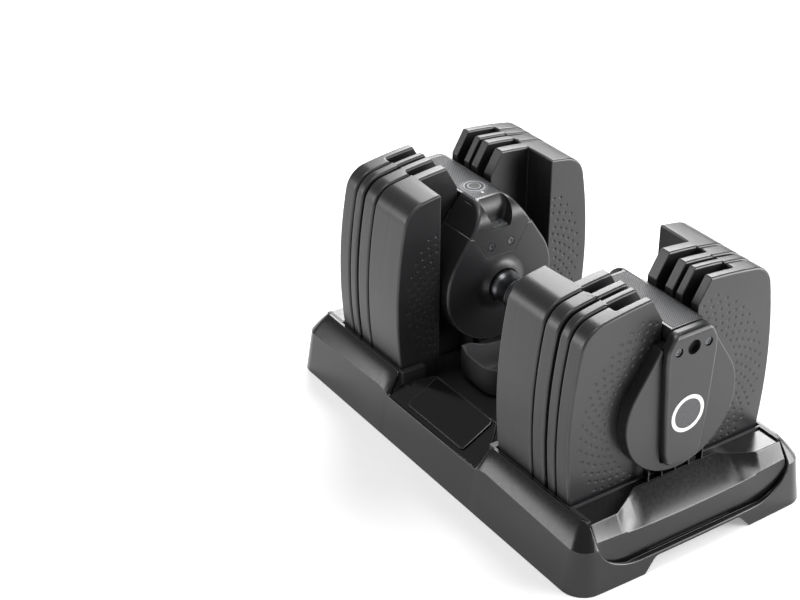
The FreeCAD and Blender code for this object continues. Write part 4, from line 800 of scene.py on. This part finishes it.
# ------------------------------------------------------------------ shaft, nuts and bushings
# A fixed steel shaft ties the two outer covers together, with a nut on each end. The drive tube
# turns on it, in brass bushings pressed into the inner covers.

# Bright turned steel: nearly white highlights on a clean grey.
bright_steel = moulded(
    "turned_bright_steel", "#8d8e90", "#a9aaac", 0.24, 2.0, 0.004, "#c0c1c3", Metallic=1.0
)
# Sintered brass holds oil, so it is warm, brownish and a little dull.
brass = moulded("sintered_brass", "#8f7440", "#a58a52", 0.34, 1.5, 0.01, "#c2a970", Metallic=1.0)
painted(bright_steel, "fixed_shaft", "shaft_nuts", "drive_tube")
painted(brass, "bushings")

# ------------------------------------------------------------------ grip
# The grip is a steel sleeve with a rolled knurl, pressed on the drive tube between two waisted
# collars. The collars are turned and left satin.

# Satin turned steel: broad soft highlights round the waist, darker than bright steel.
satin_steel = moulded(
    "satin_turned_steel", "#66676a", "#717275", 0.32, 3.0, 0.004, "#8e8f91", Metallic=1.0
)
# Rolled steel: its sheen breaks up on the diamonds, so the whole sleeve looks matt grey.
rolled_steel = moulded("knurled_steel", "#606164", "#6c6d70", 0.42, 3.0, 0.004, Metallic=1.0)
GRIP_BORE = 12.05
SLEEVE_LENGTH = 75.2
COLLAR = [
    (66.0, 15.0), (61.2, 15.0), (60.7, 15.5), (60.0, 15.9), (58.4, 16.1), (56.6, 16.0),
    (55.0, 15.4), (53.6, 14.7), (51.5, 14.2), (48.0, 13.9), (45.0, 14.0), (42.5, 14.6),
    (40.8, 15.4), (39.6, 16.2), (39.0, 16.5), (38.3, 16.5), (38.0, 16.2),
]


def circle(radius, u, v, count):
    """A round outline about (u, v)."""
    turns = [i * math.tau / count for i in range(count)]
    return [(u + radius * math.cos(turn), v + radius * math.sin(turn)) for turn in turns]


def turned(name, profile, steps=96, upright_at=None):
    """A solid of revolution, closed on itself, from (place along the axis, radius). The axis is
    the handle's, or stands upright at an x."""
    loops = []
    for along, radius in profile:
        if upright_at is None:
            loops.append([(along, y, z) for y, z in circle(radius, 0, AXIS_Z, steps)])
        else:
            loops.append([(x, y, along) for x, y in circle(radius, upright_at, 0, steps)])
    return rings(name, loops, closed=True)


def curve_through(points, steps=4):
    """Points of a smooth curve through given ones."""
    out = []
    for i in range(len(points) - 1):
        before = points[max(i - 1, 0)]
        a, b = points[i], points[i + 1]
        after = points[min(i + 2, len(points) - 1)]
        for s in range(steps):
            t = s / steps
            spot = []
            for k in (0, 1):
                slope_in = (b[k] - before[k]) * t
                bend_in = (2 * before[k] - 5 * a[k] + 4 * b[k] - after[k]) * t**2
                twist_in = (3 * a[k] - before[k] - 3 * b[k] + after[k]) * t**3
                spot.append(0.5 * (2 * a[k] + slope_in + bend_in + twist_in))
            out.append(tuple(spot))
    return [*out, points[-1]]


for end, side in ENDS:
    profile = [(x * side, radius) for x, radius in curve_through(COLLAR)]
    bore = [(x * side, GRIP_BORE) for x in (COLLAR[-1][0], COLLAR[0][0])]
    collar = turned(f"collar_{end}", profile + bore)
    ready(collar, satin_steel, "grip_core", "steel_bright", f"grip_collar_{end}")

# Such a knurl has cuts about 1.2 mm apart, too fine to show, so they are drawn 1.9 mm apart.
knurl, size = new_tree(
    "knurled_sleeve",
    {
        "Length": SLEEVE_LENGTH / 1000, "Radius": 0.0163, "Starts": 54.0, "Lead": 0.10,
        "Depth": 0.0005, "Plain End": 0.006, "Around": 324, "Along": 150,
        "Axis": AXIS_Z / 1000, "Finish": None,
    },
)
tube = add(
    knurl,
    "GeometryNodeMeshCylinder",
    {
        "Vertices": size["Around"], "Side Segments": size["Along"], "Radius": size["Radius"],
        "Depth": size["Length"],
    },
    fill_type="NONE",
)
where = add(knurl, "GeometryNodeInputPosition")
at = add(knurl, "ShaderNodeSeparateXYZ", {0: where}).outputs
turn = add(knurl, "ShaderNodeMath", {0: at[1], 1: at[0]}, operation="ARCTAN2")
twist = ("MULTIPLY", ("DIVIDE", at[2], size["Lead"]), math.tau)
cuts = []
for way in ("ADD", "SUBTRACT"):
    phase = ("MULTIPLY", (way, turn, twist), size["Starts"])
    cuts.append(("ABSOLUTE", ("SINE", ("MULTIPLY", phase, 0.5))))
from_end = ("SUBTRACT", ("MULTIPLY", size["Length"], 0.5), ("ABSOLUTE", at[2]))
inside = ("GREATER_THAN", from_end, size["Plain End"])
drop = ("MULTIPLY", ("SUBTRACT", 1.0, ("MINIMUM", *cuts)), size["Depth"])
drop = ("MULTIPLY", drop, inside)
reach = add(knurl, "ShaderNodeMath", {0: size["Radius"], 1: drop}, operation="SUBTRACT")
laid_y = ("MULTIPLY", reach, ("COSINE", turn))
laid_z = ("ADD", ("MULTIPLY", reach, ("SINE", turn)), size["Axis"])
laid = add(knurl, "ShaderNodeCombineXYZ", {0: at[2], 1: laid_y, 2: laid_z})
shaped = add(knurl, "GeometryNodeSetPosition", {"Geometry": tube, "Position": laid})
end_tree(knurl, shaped, size["Finish"])
sleeve = grown(knurl, "knurled_sleeve", finish=rolled_steel)
shape = bmesh.new()
shape.from_mesh(sleeve.data)
for x in (SLEEVE_LENGTH / 2000, -SLEEVE_LENGTH / 2000):  # an end face, down to the bore
    mouth = [
        edge
        for edge in shape.edges
        if edge.is_boundary and all(abs(vert.co.x - x) < NEARBY for vert in edge.verts)
    ]
    drawn = bmesh.ops.extrude_edge_only(shape, edges=mouth)
    for vert in (v for v in drawn["geom"] if isinstance(v, bmesh.types.BMVert)):
        out = Vector((vert.co.y, vert.co.z - AXIS_Z / 1000)).normalized() * GRIP_BORE / 1000
        vert.co = (vert.co.x, out.x, out.y + AXIS_Z / 1000)
bmesh.ops.bridge_loops(shape, edges=[edge for edge in shape.edges if edge.is_boundary])
bmesh.ops.recalc_face_normals(shape, faces=shape.faces)
shape.to_mesh(sleeve.data)
shape.free()
ready(sleeve, rolled_steel, "grip_core", "grip_steel", "grip_sleeve")

# ------------------------------------------------------------------ selectors and number drums
# The selector discs and number drums turn with the grip inside the covers. They are glass-filled
# nylon, moulded grey-black.

# Glass-filled nylon: dull, with the fibres' faint mottle.
nylon = moulded("glass_filled_nylon", "#1f2022", "#2b2c2f", 0.5, 0.8, 0.05)
painted(nylon, "selector_near", "selector_far", "number_drum_near", "number_drum_far")

# ------------------------------------------------------------------ inner end covers
# A round housing closes each inner end behind the hand, with a trumpet round the collar. It is
# satin ABS, screwed to the crown from the front.

# Satin ABS: a soft even sheen over an eroded mould's grain, drawn at 1 mm to show.
cover_abs = moulded("satin_black_abs", "#1e1e20", "#242426", 0.37, 1.0, 0.035)
TRUMPET = [
    (66.45, 28.5), (66.3, 26.8), (65.9, 24.6), (65.1, 22.4), (63.8, 20.4), (62.3, 18.7),
    (61.2, 17.7), (60.5, 17.1),
]
TRUMPET_BACK = [(60.6, 16.8), (61.2, 16.6), (68.0, 16.6), (68.0, 28.5)]
COVER_EDGE = 56  # past this distance from the axis lies a cover's rounded outline


def housing_edge(x, y, z):
    """The outline of the face towards the hand is well rounded."""
    on_outline = math.hypot(y, z - AXIS_Z) > COVER_EDGE or (z > 150 and abs(y) > 34)
    return 2.4 if abs(x) < 67 and on_outline else 0.35


for end, side in ENDS:
    node = f"inner_cover_{end}"
    housing = moulding(node + "_skin", node)
    round_edges(housing, housing_edge, steps=4)
    profile = [(x * side, radius) for x, radius in curve_through(TRUMPET) + TRUMPET_BACK]
    shell = joined(node + "_shell", housing, turned("trumpet", profile))
    ready(shell, cover_abs, "handle_frame", "cover_skin", node)

# ------------------------------------------------------------------ crowns and bridges
# The crown rolls back from the housing's face and carries the bridge over the plates. Its notch
# shows the number drum through a small window of clear polycarbonate.
CROWN_FRONT, CROWN_END, CROWN_LOW, CROWN_TOP = 66.4, 107.0, 150, 205.2
IN_FRONT, BEHIND, ASIDE = 60, 110, 40  # x and y of planes that are clear of the crown
ROLL_X, ROLL_Z, ROLL, ROLL_SQUASH = 88.9, 183.0, 22.5, 0.987
NOTCH_LOW, NOTCH_LEVELS, NOTCH_STEP = 181.7, 15, 1.9
BUTTON_X = -110.6
SEAT_LOW, CUT_TOP = 204.4, 210  # the floor of the label's seat, and a height above everything
SEAT_CORNERS = [(89.8, -14.6, 1), (120, -14.6, 1), (120, 14.6, 1), (89.8, 14.6, 1)]
WELL = (70.2, 78.4, -7.6, 7.6)  # the opening over the number drum, in plan
WELL_LOW, WELL_HIGH = 172, 183  # it runs from the drum up into the notch
RECESS_Y, RECESS_Z, RECESS_RADIUS, RECESS_FLOOR = 11, 164.5, 4.2, 68.0
SLIT = (86, 98, 201.2, 202.4)  # a joint in each side of the crown, as seen from the side
crown_side = [
    (16, 153.9), (31.4, 179.2), (34.2, 179.6), (32, 183), (30, 186), (28.2, 189), (26.4, 192),
    (24.4, 195), (21.9, 198.6), (20.2, 201), (18.4, 203), (16.6, 204.4), (15.0, 205.6),
]
crown_outline = crown_side + [(-y, z) for y, z in reversed(crown_side)]


def box_outline(u_low, u_high, v_low, v_high, side=1):
    """A rectangle, with its first measure on one side of the middle."""
    corners = ((u_low, v_low), (u_high, v_low), (u_high, v_high), (u_low, v_high))
    return [(u * side, v) for u, v in corners]


def notch_plan(z):
    """The notch's outline in plan at a height. It widens upwards, and its back leans out."""
    up = (z - NOTCH_LOW) / (CROWN_TOP - NOTCH_LOW)
    half = 9.6 + 4.9 * math.sin(min(1.0, up * 1.1) * math.pi / 2)
    back = 79.0 + 8.0 * max(0.0, up) ** 3
    return rounded([(55, -half, 0), (back, -half, 4), (back, half, 4), (55, half, 0)], 6)


def crown_edge(x, y, z):
    """The crown is well rounded above, outside the notch."""
    return 2.6 if z > 180.5 and abs(y) > 12 and abs(x) < 106 else 0.3


for end, side in ENDS:
    profile = [(CROWN_FRONT * side, CROWN_LOW)]
    for step in range(19):
        angle = math.radians(step * 5)
        x = (ROLL_X - ROLL * math.cos(angle)) * side
        profile.append((x, ROLL_Z + ROLL * math.sin(angle) * ROLL_SQUASH))
    profile += [(CROWN_END * side, CROWN_TOP), (CROWN_END * side, CROWN_LOW)]
    crown = prism("crown", profile, "y", -ASIDE, ASIDE)
    sides = prism("sides", crown_outline, "x", IN_FRONT * side, BEHIND * side)
    carve(crown, sides, "INTERSECT")
    round_edges(crown, crown_edge, steps=4)
    loops = []
    for level in range(NOTCH_LEVELS):
        z = NOTCH_LOW + level * NOTCH_STEP
        loops.append([(x * side, y, z) for x, y in notch_plan(z)])
    carve(crown, rings("notch", loops))
    seat = [(x * side, y) for x, y in rounded(SEAT_CORNERS, 3)]
    carve(crown, prism("seat", seat, "z", SEAT_LOW, CUT_TOP))
    carve(crown, prism("well", box_outline(*WELL, side), "z", WELL_LOW, WELL_HIGH))
    for y in (-RECESS_Y, RECESS_Y):
        hollow = circle(RECESS_RADIUS, y, RECESS_Z, 32)
        carve(crown, prism("recess", hollow, "x", IN_FRONT * side, RECESS_FLOOR * side))
    for way in (-1, 1):
        carve(crown, prism("slit", box_outline(*SLIT, side), "y", 18.4 * way, 24 * way))
    beam = moulding("beam", f"bridge_{end}")
    carve(beam, prism("front", box_outline(50, CROWN_END, -60, 60, side), "z", 100, 230))
    round_edges(beam, 0.35, steps=2)
    if end == "far":
        carve(crown, prism("hole", circle(9.0, BUTTON_X, 0, 48), "z", 200, CUT_TOP))
    whole = joined(f"crown_and_bridge_{end}", crown, beam)
    ready(whole, cover_abs, "handle_frame", "cover_skin", f"bridge_{end}")
    plate = moulding(f"back_plate_{end}_skin", f"back_plate_{end}")
    round_edges(plate, 0.6, steps=2)
    ready(plate, cover_abs, "handle_frame", "cover_skin", f"back_plate_{end}")

# Clear polycarbonate: the drum shows through it, with a slight ripple in its reflections.
RIPPLE = 16.667  # width of a ripple
clear, tree = blank("clear_polycarbonate")
place = add(tree, "ShaderNodeTexCoord").outputs["Object"]
ripple = add(tree, "ShaderNodeTexNoise", {"Vector": place, "Scale": 1000 / RIPPLE})
wave = add(tree, "ShaderNodeBump", {"Height": ripple, "Distance": 0.0001, "Strength": 0.3})
pane = add(
    tree,
    "ShaderNodeBsdfPrincipled",
    {
        "Base Color": linear("#c9cdd0"),
        "Roughness": 0.06,
        "IOR": 1.58,
        "Transmission Weight": 0.9,
        "Normal": wave,
    },
)
add(tree, "ShaderNodeOutputMaterial", {"Surface": pane})
painted(clear, "number_windows")

# ------------------------------------------------------------------ labels and mode button
# A thin silver label lies in a seat on each bridge: film-coated polycarbonate with pressed ribs
# across it. The far one has the round mode button in it and a tiny lamp beside it.

# Silver enamel: pale grey with only a trace of flake, so it does not flare.
silver = moulded("silver_enamel", "#85868a", "#919296", 0.45, 3.0, 0.004, "#a0a1a3", Metallic=0.1)
# Dark enamel on the button: matt, so the silver ring round it stands out.
dark_grey = moulded(
    "dark_grey_enamel", "#2f2f31", "#39393b", 0.5, 3.0, 0.004, **{"Specular IOR Level": 0.2}
)
LABEL_TOP, LABEL_THICK = 205.2, 0.9
LABEL_CORNERS = [(90.2, -14.3, 1.5), (180.8, -14.3, 1.5), (180.8, 14.3, 1.5), (90.2, 14.3, 1.5)]
RIB_PITCH, RIB_SLANT = 1.55, math.radians(30)
FILM_CLOUD = 16.667  # width of the soft clouds in the film's shade

# Ribbed silver film: fine slanting ribs, with the shade in their grooves painted on the silver as
# dark stripes. Real ribs lie about 0.8 mm apart, too fine to show, so they are drawn at about twice
# that.
film, tree = blank("ribbed_silver_film")
place = add(tree, "ShaderNodeTexCoord").outputs["Object"]
at = add(tree, "ShaderNodeSeparateXYZ", {0: place}).outputs
across_ribs = (
    "ADD",
    ("MULTIPLY", at[0], math.sin(RIB_SLANT)),
    ("MULTIPLY", at[1], math.cos(RIB_SLANT)),
)
wave = ("SINE", ("MULTIPLY", across_ribs, math.tau / RIB_PITCH * 1000))
button_middle = (BUTTON_X / 1000, 0, LABEL_TOP / 1000)
from_button = add(
    tree, "ShaderNodeVectorMath", {0: place, 1: button_middle}, operation="DISTANCE"
).outputs["Value"]
away = add(
    tree, "ShaderNodeMapRange", {"Value": from_button, "From Min": 0.0125, "From Max": 0.0135}
)
share = add(
    tree, "ShaderNodeMath", {0: ("MULTIPLY_ADD", wave, 0.5, 0.5), 1: away}, operation="MULTIPLY"
)
clouds = add(
    tree, "ShaderNodeTexNoise", {"Vector": place, "Scale": 1000 / FILM_CLOUD, "Detail": 3.0}
)
ground_shade = add(
    tree, "ShaderNodeMix", {0: clouds, 6: linear("#515255"), 7: linear("#5e5f62")}, data_type="RGBA"
)
# Painted shade: the grooves between the ribs are mixed towards near black.
groove_shade_painted = add(
    tree,
    "ShaderNodeMix",
    {0: share, 6: ground_shade.outputs[2], 7: linear("#232325")},
    data_type="RGBA",
)
sheen = add(
    tree,
    "ShaderNodeMapRange",
    {
        "Value": clouds, "From Min": NOISE_LOW, "From Max": NOISE_HIGH, "To Min": 0.4,
        "To Max": 0.46,
    },
)
relief = add(tree, "ShaderNodeBump", {"Height": share, "Distance": 0.0002, "Strength": 0.7})
coat = add(
    tree,
    "ShaderNodeBsdfPrincipled",
    {
        "Base Color": groove_shade_painted.outputs[2],
        "Roughness": sheen,
        "Metallic": 0.0,
        "Specular IOR Level": 0.2,
        "Normal": relief,
    },
)
add(tree, "ShaderNodeOutputMaterial", {"Surface": coat})
for end, side in ENDS:
    plan = [(x * side, y) for x, y in rounded(LABEL_CORNERS, 4)]
    sheet = prism(f"label_film_{end}", plan, "z", LABEL_TOP - LABEL_THICK, LABEL_TOP)
    if end == "far":
        carve(sheet, prism("hole", circle(9.1, BUTTON_X, 0, 48), "z", 200, CUT_TOP))
    round_edges(sheet, 0.2, steps=2)
    ready(sheet, film, "handle_frame", "label_silver", f"label_{end}")

BEZEL = [
    (204.4, 8.95), (205.5, 8.95), (205.7, 9.2), (205.7, 10.1), (205.5, 10.4), (205.2, 10.5),
    (204.4, 10.5),
]
GROOVE = [(205.7, 5.4), (207.0, 5.4), (207.0, 6.3), (205.7, 6.3)]
CAP_RING = [(205.5, 5.45), (205.9, 5.45), (205.9, 6.25), (205.5, 6.25)]
LAMP_X, LAMP_HALF = -96.6, 1.8
bezel = turned("button_bezel", BEZEL, 64, BUTTON_X)
ready(bezel, silver, "handle_frame", "label_silver", "label_far")
cap = prism("mode_button_cap", circle(8.65, BUTTON_X, 0, 72), "z", 201.2, 206.0)
carve(cap, turned("groove", GROOVE, 64, BUTTON_X))
round_edges(cap, 0.25, steps=2)
ready(cap, dark_grey, "mode_button", "button_gloss", "mode_button")
cap_ring = turned("cap_ring", CAP_RING, 64, BUTTON_X)
ready(cap_ring, silver, "mode_button", "button_gloss", "mode_button")
lamp_box = box_outline(LAMP_X - LAMP_HALF, LAMP_X + LAMP_HALF, -LAMP_HALF, LAMP_HALF)
lamp_plan = rounded([(x, y, 0.5) for x, y in lamp_box], 3)
for name, plan, low, high, finish in (
    ("lamp_frame", lamp_plan, 204.9, 205.35, piano_abs),
    ("lamp_lens", circle(0.8, LAMP_X, 0, 20), 205.0, 205.5, silver),
):
    piece = prism(name, plan, "z", low, high)
    round_edges(piece, 0.1, steps=2)
    ready(piece, finish, "handle_frame", "label_silver", "label_far")

# Solder mask over glass fibre: a glossy dark green.
circuit_board = moulded("green_circuit_board", "#16402c", "#1f5238", 0.4, 1.5, 0.02)
painted(circuit_board, "sensor_board")

# ------------------------------------------------------------------ outer end covers and bars
# A round cover closes each outer end, and an end bar lies over it, rolled at the top where it
# meets the bridge. Both are satin ABS, held by two recessed screws a side.
BAR_INNER, BAR_OUTER, HOLLOW_OUTER = 180, 196, 194  # x of planes clear of the bar's two faces
BAR_SCREW_Y, BAR_SCREW_Z = 16, 187.5
BAR_HOLLOWS = (  # outline, and x of the floor: badge seat, round hollow, two screw recesses
    (17.8, 0, 123.4, 96, 192.1),
    (6.75, 0, 187.8, 40, 187.5),
    (4.1, -BAR_SCREW_Y, BAR_SCREW_Z, 40, 189.4),
    (4.1, BAR_SCREW_Y, BAR_SCREW_Z, 40, 189.4),
)
bar_right = [
    (0, 72.5, 0), (14, 74.6, 2), (17.8, 76.4, 4), (21, 88, 30), (24, 127, 0),
    (27, 176, 20), (26.6, 190, 12), (19, 204, 8),
]
bar_line = rounded([(-y, z, r) for y, z, r in reversed(bar_right[1:])] + bar_right, 6)
BAR_ROLL = rounded([(183.2, 60, 0), (192.7, 60, 0), (192.7, 204, 6), (183.2, 204, 0)], 8)


def cover_edge(x, y, z):
    """The outline of the outermost face is rounded more than the rest."""
    on_outline = math.hypot(y, z - AXIS_Z) > COVER_EDGE or (z > 152 and abs(y) > 27)
    return 1.6 if on_outline and abs(x) > 184 else 0.35


def bar_edge(x, y, z):
    """The bar is well rounded outside, and almost sharp where it lies on the cover."""
    return 3.0 if abs(x) > 184.5 else 0.4


for end, side in ENDS:
    node = f"outer_cover_{end}"
    disc = moulding(node + "_skin", node)
    round_edges(disc, cover_edge, steps=4)
    ready(disc, cover_abs, "handle_frame", "cover_skin", node)
    node = f"end_bar_{end}"
    bar = prism(node + "_skin", bar_line, "x", BAR_INNER * side, BAR_OUTER * side)
    roll = [(x * side, z) for x, z in BAR_ROLL]
    carve(bar, prism("roll", roll, "y", -ASIDE, ASIDE), "INTERSECT")
    round_edges(bar, bar_edge, steps=5)
    for *outline, floor_x in BAR_HOLLOWS:
        hollow = prism("hollow", circle(*outline), "x", floor_x * side, HOLLOW_OUTER * side)
        carve(bar, hollow)
    ready(bar, cover_abs, "handle_frame", "bar_skin", node)

# ------------------------------------------------------------------ badges
# A white ring with a plain dark centre is inlaid in each end bar: pad-printed enamel on a pressed
# disc, left blank.

# White enamel: the one bright mark on each end, slightly warm.
white = moulded("white_enamel", "#e9e9e7", "#f4f4f2", 0.28, 2.0, 0.01)
# Dark enamel: a shade paler and glossier than the bar round it.
slate = moulded("dark_enamel", "#37373a", "#414144", 0.3, 2.0, 0.01)
painted(white, "badge_rings")
painted(slate, "badge_centres")

# ------------------------------------------------------------------ cover screws and bar screws
# Round-headed screws with a hexagon socket, blackened steel, sit in recesses of the covers.
screws, size = new_tree(
    "socket_screws",
    {
        "Spacing": 0.022, "Place": 0.0664, "Height": 0.1645, "Radius": 0.0036,
        "Thickness": 0.002, "Socket": 0.0019, "Socket Depth": 0.0012, "Side": 1.0,
        "Finish": None,
    },
)
pair = add(screws, "GeometryNodeMeshLine", {"Count": 2}, mode="OFFSET")
number = add(screws, "GeometryNodeInputIndex")
spot = add(
    screws,
    "ShaderNodeCombineXYZ",
    {
        0: ("MULTIPLY", size["Place"], size["Side"]),
        1: ("MULTIPLY", ("SUBTRACT", number, 0.5), size["Spacing"]),
        2: size["Height"],
    },
)
laid = add(screws, "GeometryNodeSetPosition", {"Geometry": pair, "Position": spot})
head = add(
    screws,
    "GeometryNodeMeshCylinder",
    {"Vertices": 36, "Radius": size["Radius"], "Depth": size["Thickness"]},
)
hexagon = add(
    screws,
    "GeometryNodeMeshCylinder",
    {"Vertices": 6, "Radius": size["Socket"], "Depth": size["Socket Depth"]},
)
lifted = add(screws, "ShaderNodeCombineXYZ", {2: ("MULTIPLY", size["Thickness"], 0.5)})
raised = add(screws, "GeometryNodeTransform", {"Geometry": hexagon, "Translation": lifted})
drilled = add(
    screws,
    "GeometryNodeMeshBoolean",
    {"Mesh 1": head, "Mesh 2": raised},
    operation="DIFFERENCE",
    solver="EXACT",
)
facing = add(screws, "ShaderNodeCombineXYZ", {1: ("MULTIPLY", size["Side"], math.pi / 2)})
placed = add(
    screws,
    "GeometryNodeInstanceOnPoints",
    {"Points": laid, "Instance": drilled, "Rotation": facing},
)
end_tree(screws, placed, size["Finish"])
for end, side in ENDS:
    for kind, sizes in (
        ("cover_screws", {"side": -float(side), "place": -0.0677}),
        (
            "bar_screws",
            {
                "side": float(side), "place": 0.1905, "spacing": BAR_SCREW_Y * 2 / 1000,
                "height": BAR_SCREW_Z / 1000,
            },
        ),
    ):
        heads = grown(screws, f"{kind}_{end}", finish=black_steel, **sizes)
        round_edges(heads, 0.35, steps=2)
        ready(heads, black_steel, "handle_frame", "screw_black", kind)

# ------------------------------------------------------------------ lock plungers and springs
# A turned steel plunger at each end locks the grip once the handle leaves the base. A coil of
# spring wire stands on its flange, under the bracket that guides its stem, and presses it down.
painted(bright_steel, "lock_plunger_near", "lock_plunger_far")
PLUNGER_X = 0.1
coil_spring, size = new_tree(
    "coil_spring",
    {
        "Turns": 5.0, "Coil Radius": 0.0034, "Wire Radius": 0.0005, "Height": 0.0073,
        "Foot": 0.0699, "Place": PLUNGER_X, "Finish": None,
    },
)
spiral = add(
    coil_spring,
    "GeometryNodeCurveSpiral",
    {
        "Resolution": 24, "Rotations": size["Turns"], "Start Radius": size["Coil Radius"],
        "End Radius": size["Coil Radius"], "Height": size["Height"],
    },
)
section = add(
    coil_spring,
    "GeometryNodeCurvePrimitiveCircle",
    {"Resolution": 10, "Radius": size["Wire Radius"]},
)
wire = add(
    coil_spring,
    "GeometryNodeCurveToMesh",
    {"Curve": spiral, "Profile Curve": section, "Fill Caps": True},
)
foot = add(coil_spring, "ShaderNodeCombineXYZ", {0: size["Place"], 2: size["Foot"]})
stood = add(coil_spring, "GeometryNodeTransform", {"Geometry": wire, "Translation": foot})
end_tree(coil_spring, stood, size["Finish"])
for end, side in ENDS:
    node = f"lock_spring_{end}"
    spring = grown(coil_spring, f"coil_{end}", finish=bright_steel, place=PLUNGER_X * side)
    ready(spring, bright_steel, "handle_frame", "steel_bright", node)
    low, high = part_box(node)
    top = (PLUNGER_X * side, 0.0, high.z)
    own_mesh(spring)

# ------------------------------------------------------------------ studio
# A pale paper floor, five soft boxes round and above, and a dim even surround. The floor shows
# white to the eye and in gloss, and keeps the object's shadow. Places here are in metres.
HALF_FLOOR = 8
FLOOR_GLOW = 0.3
SURROUND_GLOW = 0.27
ground = bpy.data.meshes.new("floor")
corners = [(x, y, 0) for x, y in box_outline(-HALF_FLOOR, HALF_FLOOR, -HALF_FLOOR, HALF_FLOOR)]
ground.from_pydata(corners, [], [(0, 1, 2, 3)])
put("floor", ground)
paper, tree = blank("white_paper")
seen = add(tree, "ShaderNodeLightPath").outputs
mirrored_rays = ("MAXIMUM", seen["Is Camera Ray"], seen["Is Glossy Ray"])
direct = ("MAXIMUM", mirrored_rays, seen["Is Transmission Ray"])
sheet = add(tree, "ShaderNodeBsdfDiffuse", {"Color": linear("#f4f4f4")})
glow = add(
    tree,
    "ShaderNodeEmission",
    {"Color": linear("#ffffff"), "Strength": ("MULTIPLY", direct, FLOOR_GLOW)},
)
both = add(tree, "ShaderNodeAddShader", {0: sheet, 1: glow})
add(tree, "ShaderNodeOutputMaterial", {"Surface": both})
ground.materials.append(paper)
AIM = Vector((0, 0, 0.1))
for name, place, wide, high, watts in (
    ("left_box", (-1.28, -2.03, 0.66), 1.5, 0.75, 18),
    ("back_box", (-1.62, 1.52, 1.78), 1.6, 1.4, 84),
    ("right_box", (1.5, 2.15, 0.72), 2.3, 1.2, 72),
    ("front_box", (1.75, 1.37, 1.1), 1.5, 1.2, 25),
    ("top_box", (0.0, -0.4, 2.4), 1.0, 1.0, 17),
):
    lamp = bpy.data.lights.new(name, "AREA")
    lamp.shape = "RECTANGLE"
    lamp.size = wide
    lamp.size_y = high
    lamp.energy = watts
    stand = put(name, lamp)
    stand.location = place
    stand.rotation_euler = (AIM - Vector(place)).to_track_quat("-Z", "Y").to_euler()
surround = bpy.data.worlds.new("surround")
scene.world = surround
surround.use_nodes = True
background = surround.node_tree.nodes["Background"].inputs
background["Color"].default_value = linear("#ffffff")
background["Strength"].default_value = SURROUND_GLOW

lens = bpy.data.cameras.new("camera")
lens.lens = 76.985
lens.sensor_width = 36
camera = put("camera", lens)
camera.location = (1.0310, -0.8461, 0.9218)
camera.rotation_euler = (math.radians(59.411), 0, math.radians(56.228))
scene.camera = camera
scene.view_settings.view_transform = "Standard"
